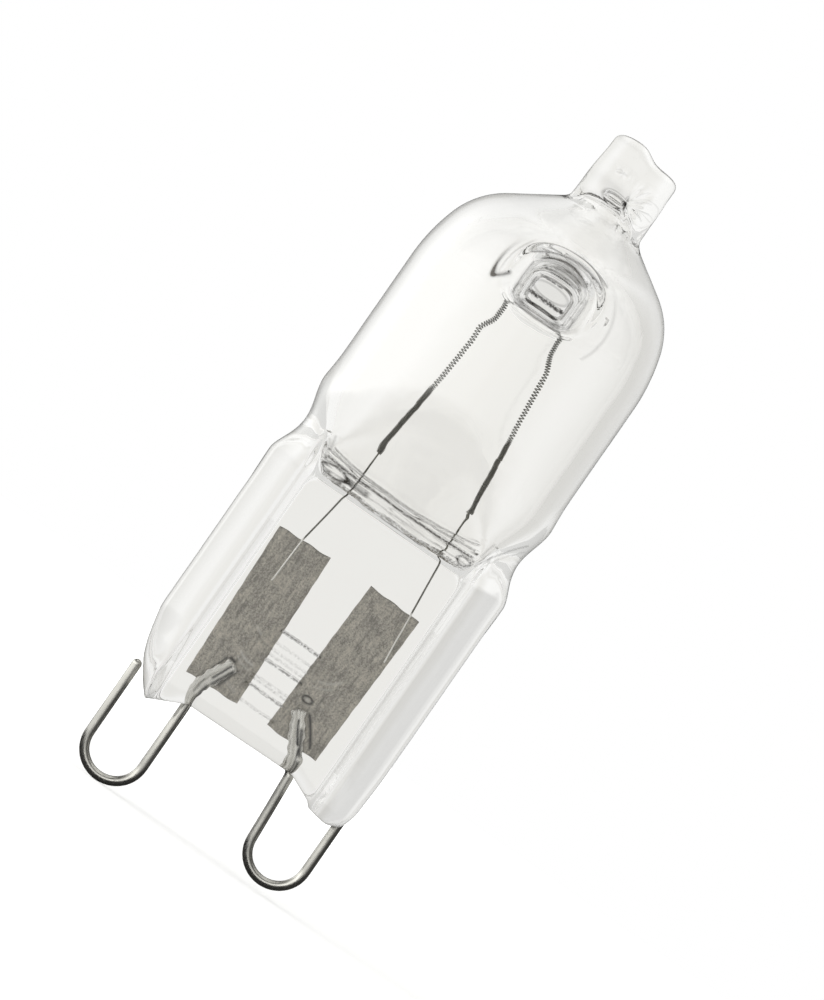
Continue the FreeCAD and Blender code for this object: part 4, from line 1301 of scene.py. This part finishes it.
def set_camera(scene, settings):
    """A long lens square on to the lamp's front, turned so that the lamp leans in the picture."""
    target = Vector((0.000234, 0.0, 0.01472))
    data = bpy.data.cameras.new("camera")
    data.lens, data.sensor_width = settings.lens, 36.0
    data.clip_start, data.clip_end = 0.01, 5.0
    distance = settings.frame_height * settings.lens / data.sensor_width
    right = Vector((math.cos(settings.lean), 0.0, math.sin(settings.lean)))
    up = Vector((-math.sin(settings.lean), 0.0, math.cos(settings.lean)))
    back = Vector((0.0, -1.0, 0.0))
    pose = Matrix((right, up, back)).transposed().to_4x4()
    pose.translation = target + back * distance
    camera = bpy.data.objects.new("camera", data)
    camera.matrix_world = pose
    scene.collection.objects.link(camera)
    scene.camera = camera


def lay_floor(scene):
    """A square floor just under the pins."""
    low, half = CAD_BOX[0][2] - 0.02 * MM, 0.4
    mesh = bpy.data.meshes.new("floor")
    corners = [(-half, -half, low), (half, -half, low), (half, half, low), (-half, half, low)]
    mesh.from_pydata(corners, [], [(0, 1, 2, 3)])
    mesh.materials.append(floor_material())
    floor = bpy.data.objects.new("floor", mesh)
    scene.collection.objects.link(floor)
    floor.visible_transmission = False


class CAPSULE_OT_stage(bpy.types.Operator):
    """Set the camera, the soft light and the pale floor"""

    bl_idname = "capsule.stage"
    bl_label = "Stage"

    def execute(self, context):
        scene = context.scene
        settings = scene.capsule_stage
        scene.view_settings.view_transform = "Standard"
        studio_world()
        key = {"azimuth": -72.0, "elevation": 8.0, "distance": 0.34, "width": 0.4, "height": 0.3}
        fill = {"azimuth": 68.0, "elevation": 10.0, "distance": 0.4, "width": 0.3, "height": 0.3}
        soft_box("key_soft_box", power=settings.key_power, **key)
        soft_box("fill_soft_box", power=settings.fill_power, **fill)
        set_camera(scene, settings)
        lay_floor(scene)
        return {"FINISHED"}


PIECES = (
    CAPSULE_OT_glass,
    CAPSULE_OT_filament,
    CAPSULE_OT_leads,
    CAPSULE_OT_foils,
    CAPSULE_OT_pins,
    CAPSULE_OT_stage,
)
GROUPS = {"capsule_glass": CapsuleGlass, "capsule_metal": CapsuleMetal, "capsule_stage": CapsuleStage}


class CAPSULE_PT_panel(bpy.types.Panel):
    """Lists the lamp's pieces and what can be changed on them"""

    bl_idname = "CAPSULE_PT_panel"
    bl_label = "Halogen capsule bulb"
    bl_space_type = "VIEW_3D"
    bl_region_type = "UI"
    bl_category = "Capsule"

    def draw(self, context):
        for group_name, group in GROUPS.items():
            box = self.layout.box()
            for name in group.__annotations__:
                box.prop(getattr(context.scene, group_name), name)
        for piece in PIECES:
            self.layout.operator(piece.bl_idname)


def register():
    for name, group in GROUPS.items():
        bpy.utils.register_class(group)
        setattr(bpy.types.Scene, name, bpy.props.PointerProperty(type=group))
    for piece in (*PIECES, CAPSULE_PT_panel):
        bpy.utils.register_class(piece)


def unregister():
    for piece in (CAPSULE_PT_panel, *reversed(PIECES)):
        bpy.utils.unregister_class(piece)
    for name, group in GROUPS.items():
        delattr(bpy.types.Scene, name)
        bpy.utils.unregister_class(group)


def main():
    """Register the add-on, and make every piece and the stage."""
    register()
    bpy.ops.capsule.glass()
    bpy.ops.capsule.filament()
    bpy.ops.capsule.leads()
    bpy.ops.capsule.foils()
    bpy.ops.capsule.pins()
    bpy.ops.capsule.stage()


if __name__ == "__main__":
    main()
